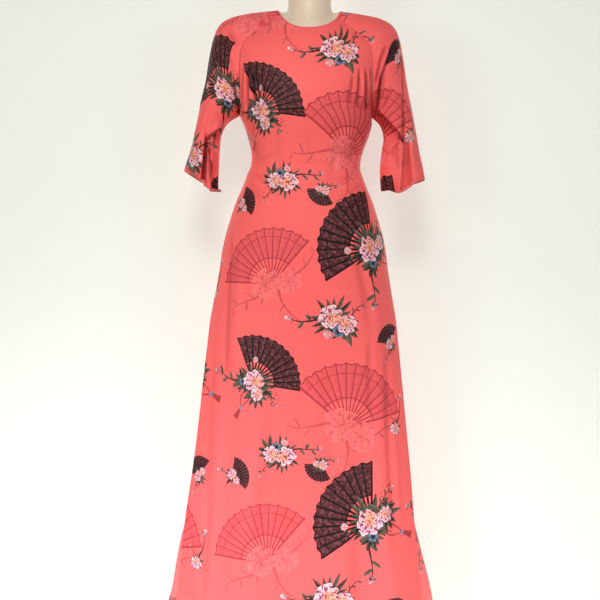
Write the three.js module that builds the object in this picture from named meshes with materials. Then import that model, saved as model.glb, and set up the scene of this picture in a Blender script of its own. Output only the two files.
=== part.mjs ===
// An ao dai worn by a limbless dress form that stands on a round foot.
//
// The dress is four sewn pieces of light cloth: a front and a back, each cut in one from the neck
// to the ankle hem, and two raglan sleeves that run from the neckline over the shoulder to a wide
// cuff below the elbow. Front and back are sewn at the sides as far as the waist and hang free
// below it. Each piece is a thin wall worked out from a grid of rows (down the garment) and
// columns (round the body, always in the same turning direction: front, right sleeve, back, left
// sleeve), so every face points out of the garment.
//
// Millimetres. +Z is up, the front of the dress faces -Y, +X is on the viewer's right.
// The origin is the middle of the foot's underside, on the floor.
import * as THREE from "three";

// ---------------------------------------------------------------- driving sizes
const WALL = 1.5; // thickness of the cloth wall
const SEAM_GAP = 0.3; // between two pieces that are sewn together
const UNDERARM = 1178; // height of the underarm point
const SLIT_TOP = 1052; // the side seams are sewn down to here
const HEM = 70; // height of the skirt hems
const AXIS_Y = 6; // the shoulder ridge lies this far behind the middle plane

const COLUMNS = { front: 18, back: 14, sleeve: 32 }; // steps across each piece
const YOKE_STEPS = 10; // rows from the neckline to the underarm
const SIDE_STEPS = 4; // rows from the underarm to the top of the slits
const SKIRT_STEPS = 12; // rows from there to the hem
const CUFF_STEPS = 6; // rows from the underarm to the cuff

// ---------------------------------------------------------------- the yoke
// Rings from the neckline (first row) to the underarm (last row). ridge is the line over the
// shoulder, seam the raglan seam that the sleeve shares with the front and with the back.
// bow_front and bow_back are half depths of the sleeve's arch and turn is how far round it goes,
// in degrees. turn_front and turn_back do the same for the rows of the front and back.
// prettier-ignore
const YOKE = table(
  ["ridge_x", "ridge_z", "seam_x", "seam_z", "seam_back_z", "bow_front", "bow_back", "turn",
    "front_y", "front_z", "turn_front", "back_y", "back_z", "turn_back"], [
  [ 63, 1400,  57, 1383, 1394, 37, 24,  70,  -68, 1347, 62,   56, 1386, 64],
  [ 97, 1399,  78, 1366, 1384, 47, 38,  72,  -77, 1335, 58,   64, 1371, 58],
  [129, 1394,  99, 1350, 1369, 56, 52,  74,  -84, 1322, 56,   72, 1355, 52],
  [161, 1386, 120, 1332, 1349, 63, 62,  77,  -91, 1306, 54,   80, 1335, 50],
  [186, 1371, 134, 1310, 1324, 68, 67,  80,  -99, 1285, 53,   88, 1309, 48],
  [200, 1344, 139, 1278, 1287, 69, 69,  86, -108, 1258, 53,   95, 1274, 48],
  [209, 1300, 139, 1240, 1245, 66, 66, 100, -116, 1229, 56,   99, 1238, 52],
  [217, 1246, 139, 1205, 1207, 60, 60, 128, -120, 1202, 66,  100, 1206, 64],
  [227, 1202, 142, UNDERARM, UNDERARM, 52, 52, 180, -119, UNDERARM, 90, 98, UNDERARM, 90],
]);

// ---------------------------------------------------------------- the body below the underarm
// half: half width of the row; shift: how far its middle hangs to one side; side: depth of its
// two edges; middle: depth at the centre line.
// prettier-ignore
const FRONT_BODY = table(["z", "half", "shift", "side", "middle", "turn"], [
  [UNDERARM,  142,  0,   6, -119, 90],
  [1155,      137,  5,   6, -115, 90],
  [1130,      129,  6,   6, -108, 90],
  [1100,      120,  4,   6,  -99, 90],
  [1075,      117,  2,   5,  -94, 90],
  [SLIT_TOP,  123,  0,   4,  -92, 88],
  [ 980,      150,  0,  -6, -103, 82],
  [ 900,      172,  0, -14, -113, 76],
  [ 830,      182,  0, -19, -116, 73],
  [ 740,      197,  0, -24, -119, 70],
  [ 620,      210,  0, -30, -120, 66],
  [ 460,      226,  0, -36, -122, 62],
  [ 300,      243, -3, -42, -126, 60],
  [ 160,      257, -3, -46, -130, 58],
  [HEM,       265, -2, -48, -133, 58],
]);
// prettier-ignore
const BACK_BODY = table(["z", "half", "shift", "side", "middle", "turn"], [
  [UNDERARM,  142,  0,   6,   98, 90],
  [1155,      137,  5,   6,   95, 90],
  [1130,      129,  6,   6,   90, 90],
  [1100,      120,  4,   6,   82, 90],
  [1075,      117,  2,   7,   78, 90],
  [SLIT_TOP,  123,  0,   8,   77, 88],
  [ 980,      148,  0,  18,   98, 82],
  [ 900,      170,  0,  26,  120, 76],
  [ 780,      188,  0,  34,  130, 72],
  [ 620,      206,  0,  40,  132, 68],
  [ 460,      226,  0,  46,  134, 64],
  [ 310,      250, -2,  52,  138, 62],
  [ 220,      272, -1,  55,  141, 60],
  [ 140,      289,  3,  57,  144, 60],
  [HEM,       302,  0,  58,  147, 60],
]);

// ---------------------------------------------------------------- the sleeves below the underarm
// outer and inner are the two sides of the flattened tube, bow its half depth.
// prettier-ignore
const RIGHT_TUBE = table(["outer_x", "outer_z", "inner_x", "inner_z", "bow"], [
  [227, 1202, 142, UNDERARM, 52],
  [232, 1175, 160, 1160, 47],
  [238, 1149, 168, 1134, 44],
  [243, 1122, 165, 1106, 42],
  [248, 1095, 162, 1076, 40],
  [254, 1069, 162, 1047, 38],
  [259, 1042, 165, 1018, 36],
]);
// prettier-ignore
const LEFT_TUBE = table(["outer_x", "outer_z", "inner_x", "inner_z", "bow"], [
  [227, 1202, 142, UNDERARM, 52],
  [231, 1177, 168, 1161, 47],
  [236, 1152, 181, 1135, 44],
  [241, 1128, 184, 1105, 42],
  [247, 1104, 185, 1074, 40],
  [254, 1080, 186, 1043, 38],
  [260, 1056, 187, 1012, 37],
]);

// ---------------------------------------------------------------- folds
// Sleeve folds run down the tube at an angle round it (0 outer side, 90 front, -90 back), and grow
// from the underarm to the cuff. A positive depth presses the cloth inwards; drop is how far the
// cuff hangs lower there.
// prettier-ignore
const RIGHT_FOLDS = table(["angle", "spread", "depth", "drop"], [
  [  80, 11,  15,  0],
  [ 100, 12,  -5, 18],
  [ -80, 16,   9,  0],
]);
// prettier-ignore
const LEFT_FOLDS = table(["angle", "spread", "depth", "drop"], [
  [  90, 13,  15,  0],
  [ 110, 10,   8,  0],
  [ 130, 10,  -4,  8],
  [ 152, 12,   5,  0],
  [ -95, 16,   9,  0],
]);
// Skirt folds hang from a height to the hem, at a share of the half width. A positive depth
// presses the cloth inwards.
// prettier-ignore
const FRONT_FOLDS = table(["share", "spread", "depth", "from_z"], [
  [-0.66, 0.09,   7, 860],
  [-0.40, 0.14,  -6, 640],
  [ 0.12, 0.16,  -6, 520],
  [ 0.56, 0.10,   9, 760],
  [ 0.78, 0.09,  -6, 640],
]);
// prettier-ignore
const BACK_FOLDS = table(["share", "spread", "depth", "from_z"], [
  [-0.70, 0.10,   8, 860],
  [-0.34, 0.14,  -8, 800],
  [ 0.02, 0.12,   9, 760],
  [ 0.36, 0.14,  -8, 820],
  [ 0.72, 0.10,   8, 700],
]);

// ---------------------------------------------------------------- the dress form
const FORM_GAP = 0.5; // between the shoulders of the form and the cloth that rests on them
const FORM_EASE = 4; // between the form and the cloth further down
const SHOULDER_ROWS = 8; // yoke rows that the form follows; below them its armhole plate begins
const POLE_R = 16;
const TRUNK_BOTTOM = 786;
const FOOT_R = 165;
const FOOT_H = 14;
const JOINT_GAP = 0.3; // between the pole and what it is screwed to
// The neck, from its base inside the neckline to its flat top.
// prettier-ignore
const NECK = table(["half", "front_y", "back_y", "side_z", "front_z", "back_z"], [
  [51, -60, 49, 1401, 1360, 1391],
  [47, -52, 46, 1408, 1376, 1399],
  [46, -46, 46, 1424, 1402, 1416],
  [46, -43, 46, 1452, 1446, 1450],
  [46, -42, 46, 1480, 1480, 1480],
  [40, -36, 40, 1485, 1485, 1485],
]);
// The trunk below the underarm.
// prettier-ignore
const TRUNK = table(["z", "half", "front_y", "back_y"], [
  [UNDERARM + 4, 130, -113,  93],
  [1140,         119, -105,  86],
  [1100,         111,  -92,  75],
  [1060,         110,  -85,  71],
  [1010,         125,  -90,  79],
  [ 950,         148,  -98, 100],
  [ 890,         160, -101, 112],
  [ 830,         158,  -96, 108],
  [ 800,         150,  -88,  98],
  [TRUNK_BOTTOM, 130,  -74,  84],
]);

// Turned parts, as radius and height.
// prettier-ignore
const POLE = [
  [0, FOOT_H + JOINT_GAP], [34, FOOT_H + JOINT_GAP], [34, FOOT_H + 6], [20, FOOT_H + 14],
  [20, FOOT_H + 46], [POLE_R, FOOT_H + 50], [POLE_R, TRUNK_BOTTOM - 20], [42, TRUNK_BOTTOM - 8],
  [42, TRUNK_BOTTOM - JOINT_GAP], [0, TRUNK_BOTTOM - JOINT_GAP],
];
// prettier-ignore
const FOOT = [[0, 0], [FOOT_R - 4, 0], [FOOT_R, 4], [FOOT_R, FOOT_H - 6], [FOOT_R - 10, FOOT_H], [0, FOOT_H]];

// ---------------------------------------------------------------- colours
const CLOTH_COLOUR = 0xf0605c;
const CLOTH_FINISH = { color: CLOTH_COLOUR, roughness: 0.75, metalness: 0 };
const FORM_FINISH = { color: 0xe6dcc6, roughness: 0.55, metalness: 0 };
const METAL_FINISH = { color: 0xc9c9c6, roughness: 0.35, metalness: 0.9 };

// ---------------------------------------------------------------- small tools
function table(names, rows) {
  return rows.map((row) => Object.fromEntries(row.map((v, i) => [names[i], v])));
}

function radians(degrees) {
  return (degrees * Math.PI) / 180;
}

// A column of a table at the real-numbered row s, on a smooth curve through its rows.
function smooth(rows, name, s) {
  const last = rows.length - 1;
  const i = Math.min(Math.floor(s), last - 1);
  const f = s - i;
  const v = (k) => rows[Math.max(0, Math.min(last, k))][name];
  const a = v(i - 1), b = v(i), c = v(i + 1), d = v(i + 2);
  return 0.5 * (2 * b + (c - a) * f + (2 * a - 5 * b + 4 * c - d) * f * f
    + (3 * b - a - 3 * c + d) * f * f * f);
}

// The real-numbered row of a table whose height column passes z.
function rowAt(rows, z) {
  const i = rows.findIndex((r, k) => k + 1 < rows.length && r.z >= z && rows[k + 1].z <= z);
  return i + (rows[i].z - z) / (rows[i].z - rows[i + 1].z);
}

function gauss(x) {
  return Math.exp(-x * x);
}

// Points at equal steps along the polyline through dense, ends kept.
function evenly(dense, steps) {
  const along = [0];
  for (let i = 1; i < dense.length; i++)
    along.push(along[i - 1] + dense[i].distanceTo(dense[i - 1]));
  const total = along.at(-1);
  return Array.from({ length: steps + 1 }, (_, k) => {
    const target = (total * k) / steps;
    let i = along.findIndex((a) => a >= target - 1e-9);
    if (i < 0) i = along.length - 1;
    if (i === 0) return dense[0].clone();
    const f = (target - along[i - 1]) / (along[i] - along[i - 1]);
    return dense[i - 1].clone().lerp(dense[i], f);
  });
}

const DENSE = 48; // points on a curve before it is stepped evenly
const FULLNESS = 0.86; // below 1 the rows are squarer than an ellipse

// ---------------------------------------------------------------- rows of the front and back
// One half of a row, from the centre line (share 0) to its edge (share 1), as an arc that turns
// through the given angle.
function halfRow(edge, middle, turn, share) {
  const end = radians(Math.min(turn, 90));
  const a = share * end;
  const across = Math.sin(a) ** FULLNESS / Math.sin(end) ** FULLNESS;
  const round = (1 - Math.max(Math.cos(a), 0) ** FULLNESS) / (1 - Math.max(Math.cos(end), 0) ** FULLNESS);
  return new THREE.Vector3(
    edge.x * across,
    middle.y + (edge.y - middle.y) * round,
    middle.z + (edge.z - middle.z) * round,
  );
}

// A whole row from one edge to the other. side is -1 for the front, whose rows run towards +X,
// and 1 for the back, whose rows run towards -X.
function bodyRow(edge, middle, turn, steps, side, folds = [], shift = 0) {
  const dense = [];
  for (let k = -DENSE; k <= DENSE; k++) {
    const share = k / DENSE;
    const p = halfRow(edge, middle, turn, Math.abs(share));
    p.x *= -side * Math.sign(share);
    for (const fold of folds) {
      const grown = Math.max(0, (fold.from_z - middle.z) / (fold.from_z - HEM));
      p.y -= side * fold.depth * grown ** 0.8 * gauss((p.x / edge.x - fold.share) / fold.spread);
    }
    p.x += shift;
    dense.push(p);
  }
  return evenly(dense, steps);
}

function frontYokeRow(s) {
  const bow = smooth(YOKE, "bow_front", s) * Math.sin(radians(smooth(YOKE, "turn", s)));
  const edge = new THREE.Vector3(smooth(YOKE, "seam_x", s), AXIS_Y - bow, smooth(YOKE, "seam_z", s));
  const middle = new THREE.Vector3(0, smooth(YOKE, "front_y", s), smooth(YOKE, "front_z", s));
  return bodyRow(edge, middle, smooth(YOKE, "turn_front", s), COLUMNS.front, -1);
}

function backYokeRow(s) {
  const bow = smooth(YOKE, "bow_back", s) * Math.sin(radians(smooth(YOKE, "turn", s)));
  const edge = new THREE.Vector3(smooth(YOKE, "seam_x", s), AXIS_Y + bow, smooth(YOKE, "seam_back_z", s));
  const middle = new THREE.Vector3(0, smooth(YOKE, "back_y", s), smooth(YOKE, "back_z", s));
  return bodyRow(edge, middle, smooth(YOKE, "turn_back", s), COLUMNS.back, 1);
}

function lowerRow(rows, z, steps, side, folds) {
  const s = rowAt(rows, z);
  const edge = new THREE.Vector3(smooth(rows, "half", s), smooth(rows, "side", s), z);
  const middle = new THREE.Vector3(0, smooth(rows, "middle", s), z);
  return bodyRow(edge, middle, smooth(rows, "turn", s), steps, side, folds, smooth(rows, "shift", s));
}

function yokeSteps() {
  return Array.from({ length: YOKE_STEPS + 1 }, (_, i) => (i * (YOKE.length - 1)) / YOKE_STEPS);
}

function lowerHeights() {
  const heights = [];
  for (let i = 1; i <= SIDE_STEPS; i++)
    heights.push(UNDERARM + ((SLIT_TOP - UNDERARM) * i) / SIDE_STEPS);
  for (let i = 1; i <= SKIRT_STEPS; i++)
    heights.push(SLIT_TOP + (HEM - SLIT_TOP) * (i / SKIRT_STEPS) ** 1.15);
  return heights;
}

function frontGrid() {
  return [
    ...yokeSteps().map(frontYokeRow),
    ...lowerHeights().map((z) => lowerRow(FRONT_BODY, z, COLUMNS.front, -1, FRONT_FOLDS)),
  ];
}

function backGrid() {
  return [
    ...yokeSteps().map(backYokeRow),
    ...lowerHeights().map((z) => lowerRow(BACK_BODY, z, COLUMNS.back, 1, BACK_FOLDS)),
  ];
}

// ---------------------------------------------------------------- rows of the sleeves
// An arch of the right sleeve from its front edge over the outer point to its back edge.
// outer, front and back are { x, z }; bows are half depths; turn is the angle of each half.
function archRow(outer, front, back, bowFront, bowBack, turn, folds = [], grown = 0) {
  const end = radians(turn);
  const half = (edge, bow, sign) => {
    const reachX = (outer.x - edge.x) / (1 - Math.cos(end));
    const reachZ = (outer.z - edge.z) / (1 - Math.cos(end));
    const dense = [];
    for (let k = 0; k <= DENSE; k++) {
      const a = (k / DENSE) * end;
      let press = 0, drop = 0;
      for (const fold of folds) {
        const from = (sign * a * 180) / Math.PI - fold.angle;
        press += grown * fold.depth * gauss(from / fold.spread);
        drop += grown * fold.drop * gauss(from / fold.spread / 2.5);
      }
      dense.push(new THREE.Vector3(
        outer.x - reachX * (1 - Math.cos(a)),
        AXIS_Y - sign * (bow * Math.sin(a) - press),
        outer.z - reachZ * (1 - Math.cos(a)) - drop,
      ));
    }
    return evenly(dense, COLUMNS.sleeve / 2);
  };
  const toFront = half(front, bowFront, 1);
  const toBack = half(back, bowBack, -1);
  return [...toFront.reverse(), ...toBack.slice(1)];
}

function sleeveYokeRow(s) {
  const v = (name) => smooth(YOKE, name, s);
  return archRow(
    { x: v("ridge_x"), z: v("ridge_z") },
    { x: v("seam_x"), z: v("seam_z") },
    { x: v("seam_x"), z: v("seam_back_z") },
    v("bow_front"), v("bow_back"), v("turn"),
  );
}

function tubeRow(rows, folds, share) {
  const s = share * (rows.length - 1);
  const v = (name) => smooth(rows, name, s);
  const inner = { x: v("inner_x"), z: v("inner_z") };
  return archRow({ x: v("outer_x"), z: v("outer_z") }, inner, inner, v("bow"), v("bow"), 180, folds, share);
}

function sleeveGrid(rows, folds) {
  const tube = Array.from({ length: CUFF_STEPS }, (_, i) => tubeRow(rows, folds, (i + 1) / CUFF_STEPS));
  return [...yokeSteps().map(sleeveYokeRow), ...tube];
}

// The left sleeve's rows run the other way, so that its faces point out too.
function mirrored(grid) {
  return grid.map((row) => row.map((p) => new THREE.Vector3(-p.x, p.y, p.z)).reverse());
}

// ---------------------------------------------------------------- walls
function normalsOf(grid) {
  return grid.map((row, i) => row.map((_, j) => {
    const down = grid[Math.min(i + 1, grid.length - 1)][j].clone().sub(grid[Math.max(i - 1, 0)][j]);
    const along = row[Math.min(j + 1, row.length - 1)].clone().sub(row[Math.max(j - 1, 0)]);
    return down.cross(along).normalize();
  }));
}

// Sewn edges share the direction of their wall as far as they face the same way, so that the
// walls meet edge to edge, and each draws back by half the gap.
function sew(edges) {
  for (let i = 0; i < edges[0].count; i++) {
    const own = edges.map((e) => e.normals[e.from + i][e.column].clone());
    edges.forEach((e, k) => {
      const shared = own[k].clone();
      own.forEach((n, m) => { if (m !== k) shared.addScaledVector(n, Math.max(0, n.dot(own[k]))); });
      e.normals[e.from + i][e.column] = shared.normalize();
    });
  }
}

function drawBack(grid, normals, column, inwards) {
  grid.forEach((row, i) => {
    const along = row[column + inwards].clone().sub(row[column]);
    along.addScaledVector(normals[i][column], -along.dot(normals[i][column])).normalize();
    row[column].addScaledVector(along, SEAM_GAP / 2);
  });
}

// A closed body between an outer and an inner grid of the same size.
function wallGeometry(outer, inner) {
  const rows = outer.length, columns = outer[0].length;
  const points = [...outer.flat(), ...inner.flat()];
  const o = (i, j) => i * columns + j;
  const n = (i, j) => rows * columns + o(i, j);
  const faces = [];
  const quad = (a, b, c, d) => faces.push(a, b, c, a, c, d);
  for (let i = 0; i + 1 < rows; i++)
    for (let j = 0; j + 1 < columns; j++) {
      quad(o(i, j), o(i + 1, j), o(i + 1, j + 1), o(i, j + 1));
      quad(n(i, j), n(i, j + 1), n(i + 1, j + 1), n(i + 1, j));
    }
  for (let j = 0; j + 1 < columns; j++) {
    quad(o(0, j), o(0, j + 1), n(0, j + 1), n(0, j));
    quad(o(rows - 1, j + 1), o(rows - 1, j), n(rows - 1, j), n(rows - 1, j + 1));
  }
  for (let i = 0; i + 1 < rows; i++) {
    quad(o(i + 1, 0), o(i, 0), n(i, 0), n(i + 1, 0));
    quad(o(i, columns - 1), o(i + 1, columns - 1), n(i + 1, columns - 1), n(i, columns - 1));
  }
  return indexed(points, faces);
}

// A closed body from rings, with its first and last ring closed by flat fans.
function ringGeometry(rings) {
  const columns = rings[0].length;
  const points = rings.flat();
  const faces = [];
  for (let i = 0; i + 1 < rings.length; i++)
    for (let j = 0; j < columns; j++) {
      const k = (j + 1) % columns;
      const a = i * columns + j, b = (i + 1) * columns + j;
      const c = (i + 1) * columns + k, d = i * columns + k;
      faces.push(a, b, c, a, c, d);
    }
  const cap = (ring, offset, turned) => {
    const centre = ring.reduce((sum, p) => sum.add(p), new THREE.Vector3()).divideScalar(columns);
    points.push(centre);
    const m = points.length - 1;
    for (let j = 0; j < columns; j++) {
      const a = offset + j, b = offset + ((j + 1) % columns);
      if (turned) faces.push(m, b, a);
      else faces.push(m, a, b);
    }
  };
  cap(rings[0], 0, false);
  cap(rings.at(-1), (rings.length - 1) * columns, true);
  return indexed(points, faces);
}

function indexed(points, faces) {
  const flat = new Float32Array(points.flatMap((p) => [p.x, p.y, p.z]));
  const geometry = new THREE.BufferGeometry();
  geometry.setAttribute("position", new THREE.BufferAttribute(flat, 3));
  geometry.setIndex(faces);
  geometry.computeVertexNormals();
  return geometry;
}

function node(name, geometry, finish) {
  const mesh = new THREE.Mesh(geometry, new THREE.MeshStandardMaterial(finish));
  mesh.name = name;
  return mesh;
}

function inset(grid, normals, depth) {
  return grid.map((row, i) => row.map((p, j) =>
    p.clone().addScaledVector(normals[i][j], -(typeof depth === "function" ? depth(i) : depth))));
}

// ---------------------------------------------------------------- the four pieces of the dress
const front = frontGrid();
const back = backGrid();
const rightSleeve = sleeveGrid(RIGHT_TUBE, RIGHT_FOLDS);
const leftSleeve = mirrored(sleeveGrid(LEFT_TUBE, LEFT_FOLDS));
const pieces = [front, rightSleeve, back, leftSleeve].map((grid) => ({ grid, normals: normalsOf(grid) }));

function edge(piece, end, from, count) {
  return { normals: pieces[piece].normals, column: end ? pieces[piece].grid[0].length - 1 : 0, from, count };
}
for (let k = 0; k < 4; k++) sew([edge(k, true, 0, YOKE_STEPS), edge((k + 1) % 4, false, 0, YOKE_STEPS)]);
for (const [a, b] of [[0, 2], [2, 0]])
  sew([edge(a, true, YOKE_STEPS, SIDE_STEPS + 1), edge(b, false, YOKE_STEPS, SIDE_STEPS + 1)]);
for (const k of [1, 3]) sew([edge(k, false, YOKE_STEPS, CUFF_STEPS + 1), edge(k, true, YOKE_STEPS, CUFF_STEPS + 1)]);

const dress = new THREE.Group();
const names = ["front", "sleeve_right", "back", "sleeve_left"];
const bareYoke = pieces.map(({ grid, normals }) => ({
  grid: grid.slice(0, YOKE_STEPS + 1).map((row) => row.map((p) => p.clone())),
  normals: normals.map((row) => row.map((n) => n.clone())),
}));
pieces.forEach(({ grid, normals }, k) => {
  drawBack(grid, normals, 0, 1);
  drawBack(grid, normals, grid[0].length - 1, -1);
  dress.add(node(names[k], wallGeometry(grid, inset(grid, normals, WALL)), CLOTH_FINISH));
});

// ---------------------------------------------------------------- the dress form
// Its rings have the columns of all four pieces, so that its shoulders lie parallel to the cloth.
const ringColumns = [COLUMNS.front, COLUMNS.sleeve, COLUMNS.back, COLUMNS.sleeve];
const SIDE_ARC = 10; // degrees on each side of the side line that the sleeve columns take

// An upright-walled ring; angle 0 is the centre front and 90 the +X side.
function formRing(half, frontY, backY, zOf) {
  const spans = [
    [-90 + SIDE_ARC, 90 - SIDE_ARC], [90 - SIDE_ARC, 90 + SIDE_ARC],
    [90 + SIDE_ARC, 270 - SIDE_ARC], [270 - SIDE_ARC, 270 + SIDE_ARC],
  ];
  const ring = [];
  spans.forEach(([from, to], k) => {
    for (let j = 0; j < ringColumns[k]; j++) {
      const a = radians(from + ((to - from) * j) / ringColumns[k]);
      const c = Math.cos(a);
      const depth = c > 0 ? frontY - AXIS_Y : AXIS_Y - backY;
      ring.push(new THREE.Vector3(half * Math.sin(a), AXIS_Y + depth * c, zOf(c)));
    }
  });
  return ring;
}

const neckRings = NECK.slice().reverse().map((r) => {
  return formRing(r.half, r.front_y, r.back_y, (c) => r.side_z + ((c > 0 ? r.front_z : r.back_z) - r.side_z) * Math.abs(c));
});
const shoulderRings = [];
for (let i = 0; i <= SHOULDER_ROWS; i++) {
  const ring = bareYoke.flatMap(({ grid, normals }) => {
    const gap = WALL + FORM_GAP + (FORM_EASE - FORM_GAP) * Math.max(0, i - 5) / (SHOULDER_ROWS - 5) / 2;
    return inset([grid[i]], [normals[i]], gap)[0].slice(0, -1);
  });
  shoulderRings.push(ring);
}
const trunkRings = TRUNK.map((r) => formRing(r.half, r.front_y, r.back_y, () => r.z));

const form = new THREE.Group();
form.add(node("form_torso", ringGeometry([...neckRings, ...shoulderRings, ...trunkRings]), FORM_FINISH));
form.add(node("form_pole", lathe(POLE, 24), METAL_FINISH));
form.add(node("form_foot", lathe(FOOT, 48), METAL_FINISH));

function lathe(profile, steps) {
  const points = profile.map(([r, z]) => new THREE.Vector2(r, z));
  return new THREE.LatheGeometry(points, steps).rotateX(Math.PI / 2);
}

const group = new THREE.Group();
group.add(dress, form);
export default group;
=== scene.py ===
import bpy
import numpy as np
from mathutils import Matrix, Vector


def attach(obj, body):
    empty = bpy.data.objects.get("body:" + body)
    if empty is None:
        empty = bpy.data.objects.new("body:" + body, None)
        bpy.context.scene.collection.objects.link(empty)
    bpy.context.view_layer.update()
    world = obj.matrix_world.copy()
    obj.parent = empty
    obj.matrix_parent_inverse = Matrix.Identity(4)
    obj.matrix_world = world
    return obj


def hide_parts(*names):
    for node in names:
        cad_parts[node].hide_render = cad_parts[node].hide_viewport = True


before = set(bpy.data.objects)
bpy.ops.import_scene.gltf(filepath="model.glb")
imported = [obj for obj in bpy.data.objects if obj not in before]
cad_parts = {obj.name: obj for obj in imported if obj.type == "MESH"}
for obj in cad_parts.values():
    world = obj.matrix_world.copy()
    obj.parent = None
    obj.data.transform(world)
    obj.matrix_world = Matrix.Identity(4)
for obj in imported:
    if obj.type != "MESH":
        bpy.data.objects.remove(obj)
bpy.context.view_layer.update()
MM = 0.001

# ---------------------------------------------------------------- camera
# It stands level at hip height, two metres in front of the dress, tipped a touch to one side.
EYE = np.array([-7.5, -2000, 781]) * MM
SEEN_AT_DRESS = 1290 * MM  # width of the view where the dress hangs
TIPPED = np.radians(0.65)
FILM_WIDTH = 36  # in the camera's own millimetres


def linked(name, data):
    """An object of this data in the scene."""
    made = bpy.data.objects.new(name, data)
    bpy.context.scene.collection.objects.link(made)
    return made


camera = linked("camera", bpy.data.cameras.new("camera"))
bpy.context.scene.camera = camera
camera.data.sensor_width = FILM_WIDTH
camera.data.lens = FILM_WIDTH * -EYE[1] / SEEN_AT_DRESS
camera.data.clip_start = 0.05
camera.matrix_world = Matrix(
    (
        (np.cos(TIPPED), -np.sin(TIPPED), 0, EYE[0]),
        (0, 0, -1, EYE[1]),
        (np.sin(TIPPED), np.cos(TIPPED), 0, EYE[2]),
        (0, 0, 0, 1),
    )
)

# ---------------------------------------------------------------- front
# The front is cut in one from the neck to the ankle, with raglan armholes and no dart. It is sewn
# to the back as far as the waist and hangs free below, with a narrow turned hem all round.
UNDERARM = 1178
SLIT_TOP = 1052
HEM = 70
RIDGE_Y = 6  # the shoulder ridge lies this far behind the middle plane
FULLNESS = 0.86  # below 1 the rows are squarer than an ellipse
CLOTH = 0.0008  # thickness of the cloth, in metres


def table(names, *rows):
    """A dict of columns from rows of numbers."""
    columns = np.array(rows, float).T
    return dict(zip(names.split(), columns))


# Rows of the yoke, from the neckline to the underarm. ridge: the line over the shoulder; seam: the
# raglan seam; bow: half depth of the sleeve's arch; turn: how far round an arc goes, in degrees.
YOKE = table(
    "ridge_x ridge_z seam_x seam_z seam_back_z bow_front bow_back turn"
    " front_y front_z turn_front back_y back_z turn_back",
    (67, 1402, 61, 1386, 1396, 37, 24, 70, -67, 1349, 62, 56, 1387, 64),
    (97, 1399, 78, 1366, 1384, 47, 38, 72, -77, 1335, 58, 64, 1371, 58),
    (129, 1394, 99, 1350, 1369, 56, 52, 74, -84, 1322, 56, 72, 1355, 52),
    (161, 1386, 120, 1332, 1349, 63, 62, 77, -91, 1306, 54, 80, 1335, 50),
    (186, 1371, 134, 1310, 1324, 68, 67, 80, -99, 1285, 53, 88, 1309, 48),
    (200, 1344, 139, 1278, 1287, 69, 69, 86, -108, 1258, 53, 95, 1274, 48),
    (209, 1300, 139, 1240, 1245, 66, 66, 100, -116, 1229, 56, 99, 1238, 52),
    (217, 1246, 139, 1205, 1207, 60, 60, 128, -120, 1202, 66, 100, 1206, 64),
    (227, 1202, 142, UNDERARM, UNDERARM, 52, 52, 180, -119, UNDERARM, 90, 98, UNDERARM, 90),
)
# Rows of the front below the underarm. side: depth of its edges; middle: depth at its centre.
BODY = "z half shift side middle turn"
FRONT_BODY = table(
    BODY,
    (UNDERARM, 142, 0, 6, -119, 90),
    (1155, 137, 5, 6, -115, 90),
    (1130, 129, 6, 6, -108, 90),
    (1100, 120, 4, 6, -99, 90),
    (1075, 117, 2, 5, -94, 90),
    (SLIT_TOP, 123, 0, 4, -92, 88),
    (980, 150, 0, -6, -103, 82),
    (900, 172, 0, -14, -113, 76),
    (830, 182, 0, -19, -116, 73),
    (740, 197, 0, -24, -119, 70),
    (620, 210, 0, -30, -120, 66),
    (460, 226, 0, -36, -122, 62),
    (300, 243, -3, -42, -126, 60),
    (160, 257, -3, -46, -130, 58),
    (HEM, 265, -2, -48, -133, 58),
)
# Long soft folds of the skirt: where across the half width, how wide, how deep, and from where.
FALL = "share spread depth from_z"
FRONT_FALL = table(
    FALL,
    (-0.66, 0.09, 7, 860),
    (-0.4, 0.14, -6, 640),
    (0.12, 0.16, -6, 520),
    (0.56, 0.1, 9, 760),
    (0.78, 0.09, -6, 640),
)
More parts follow.
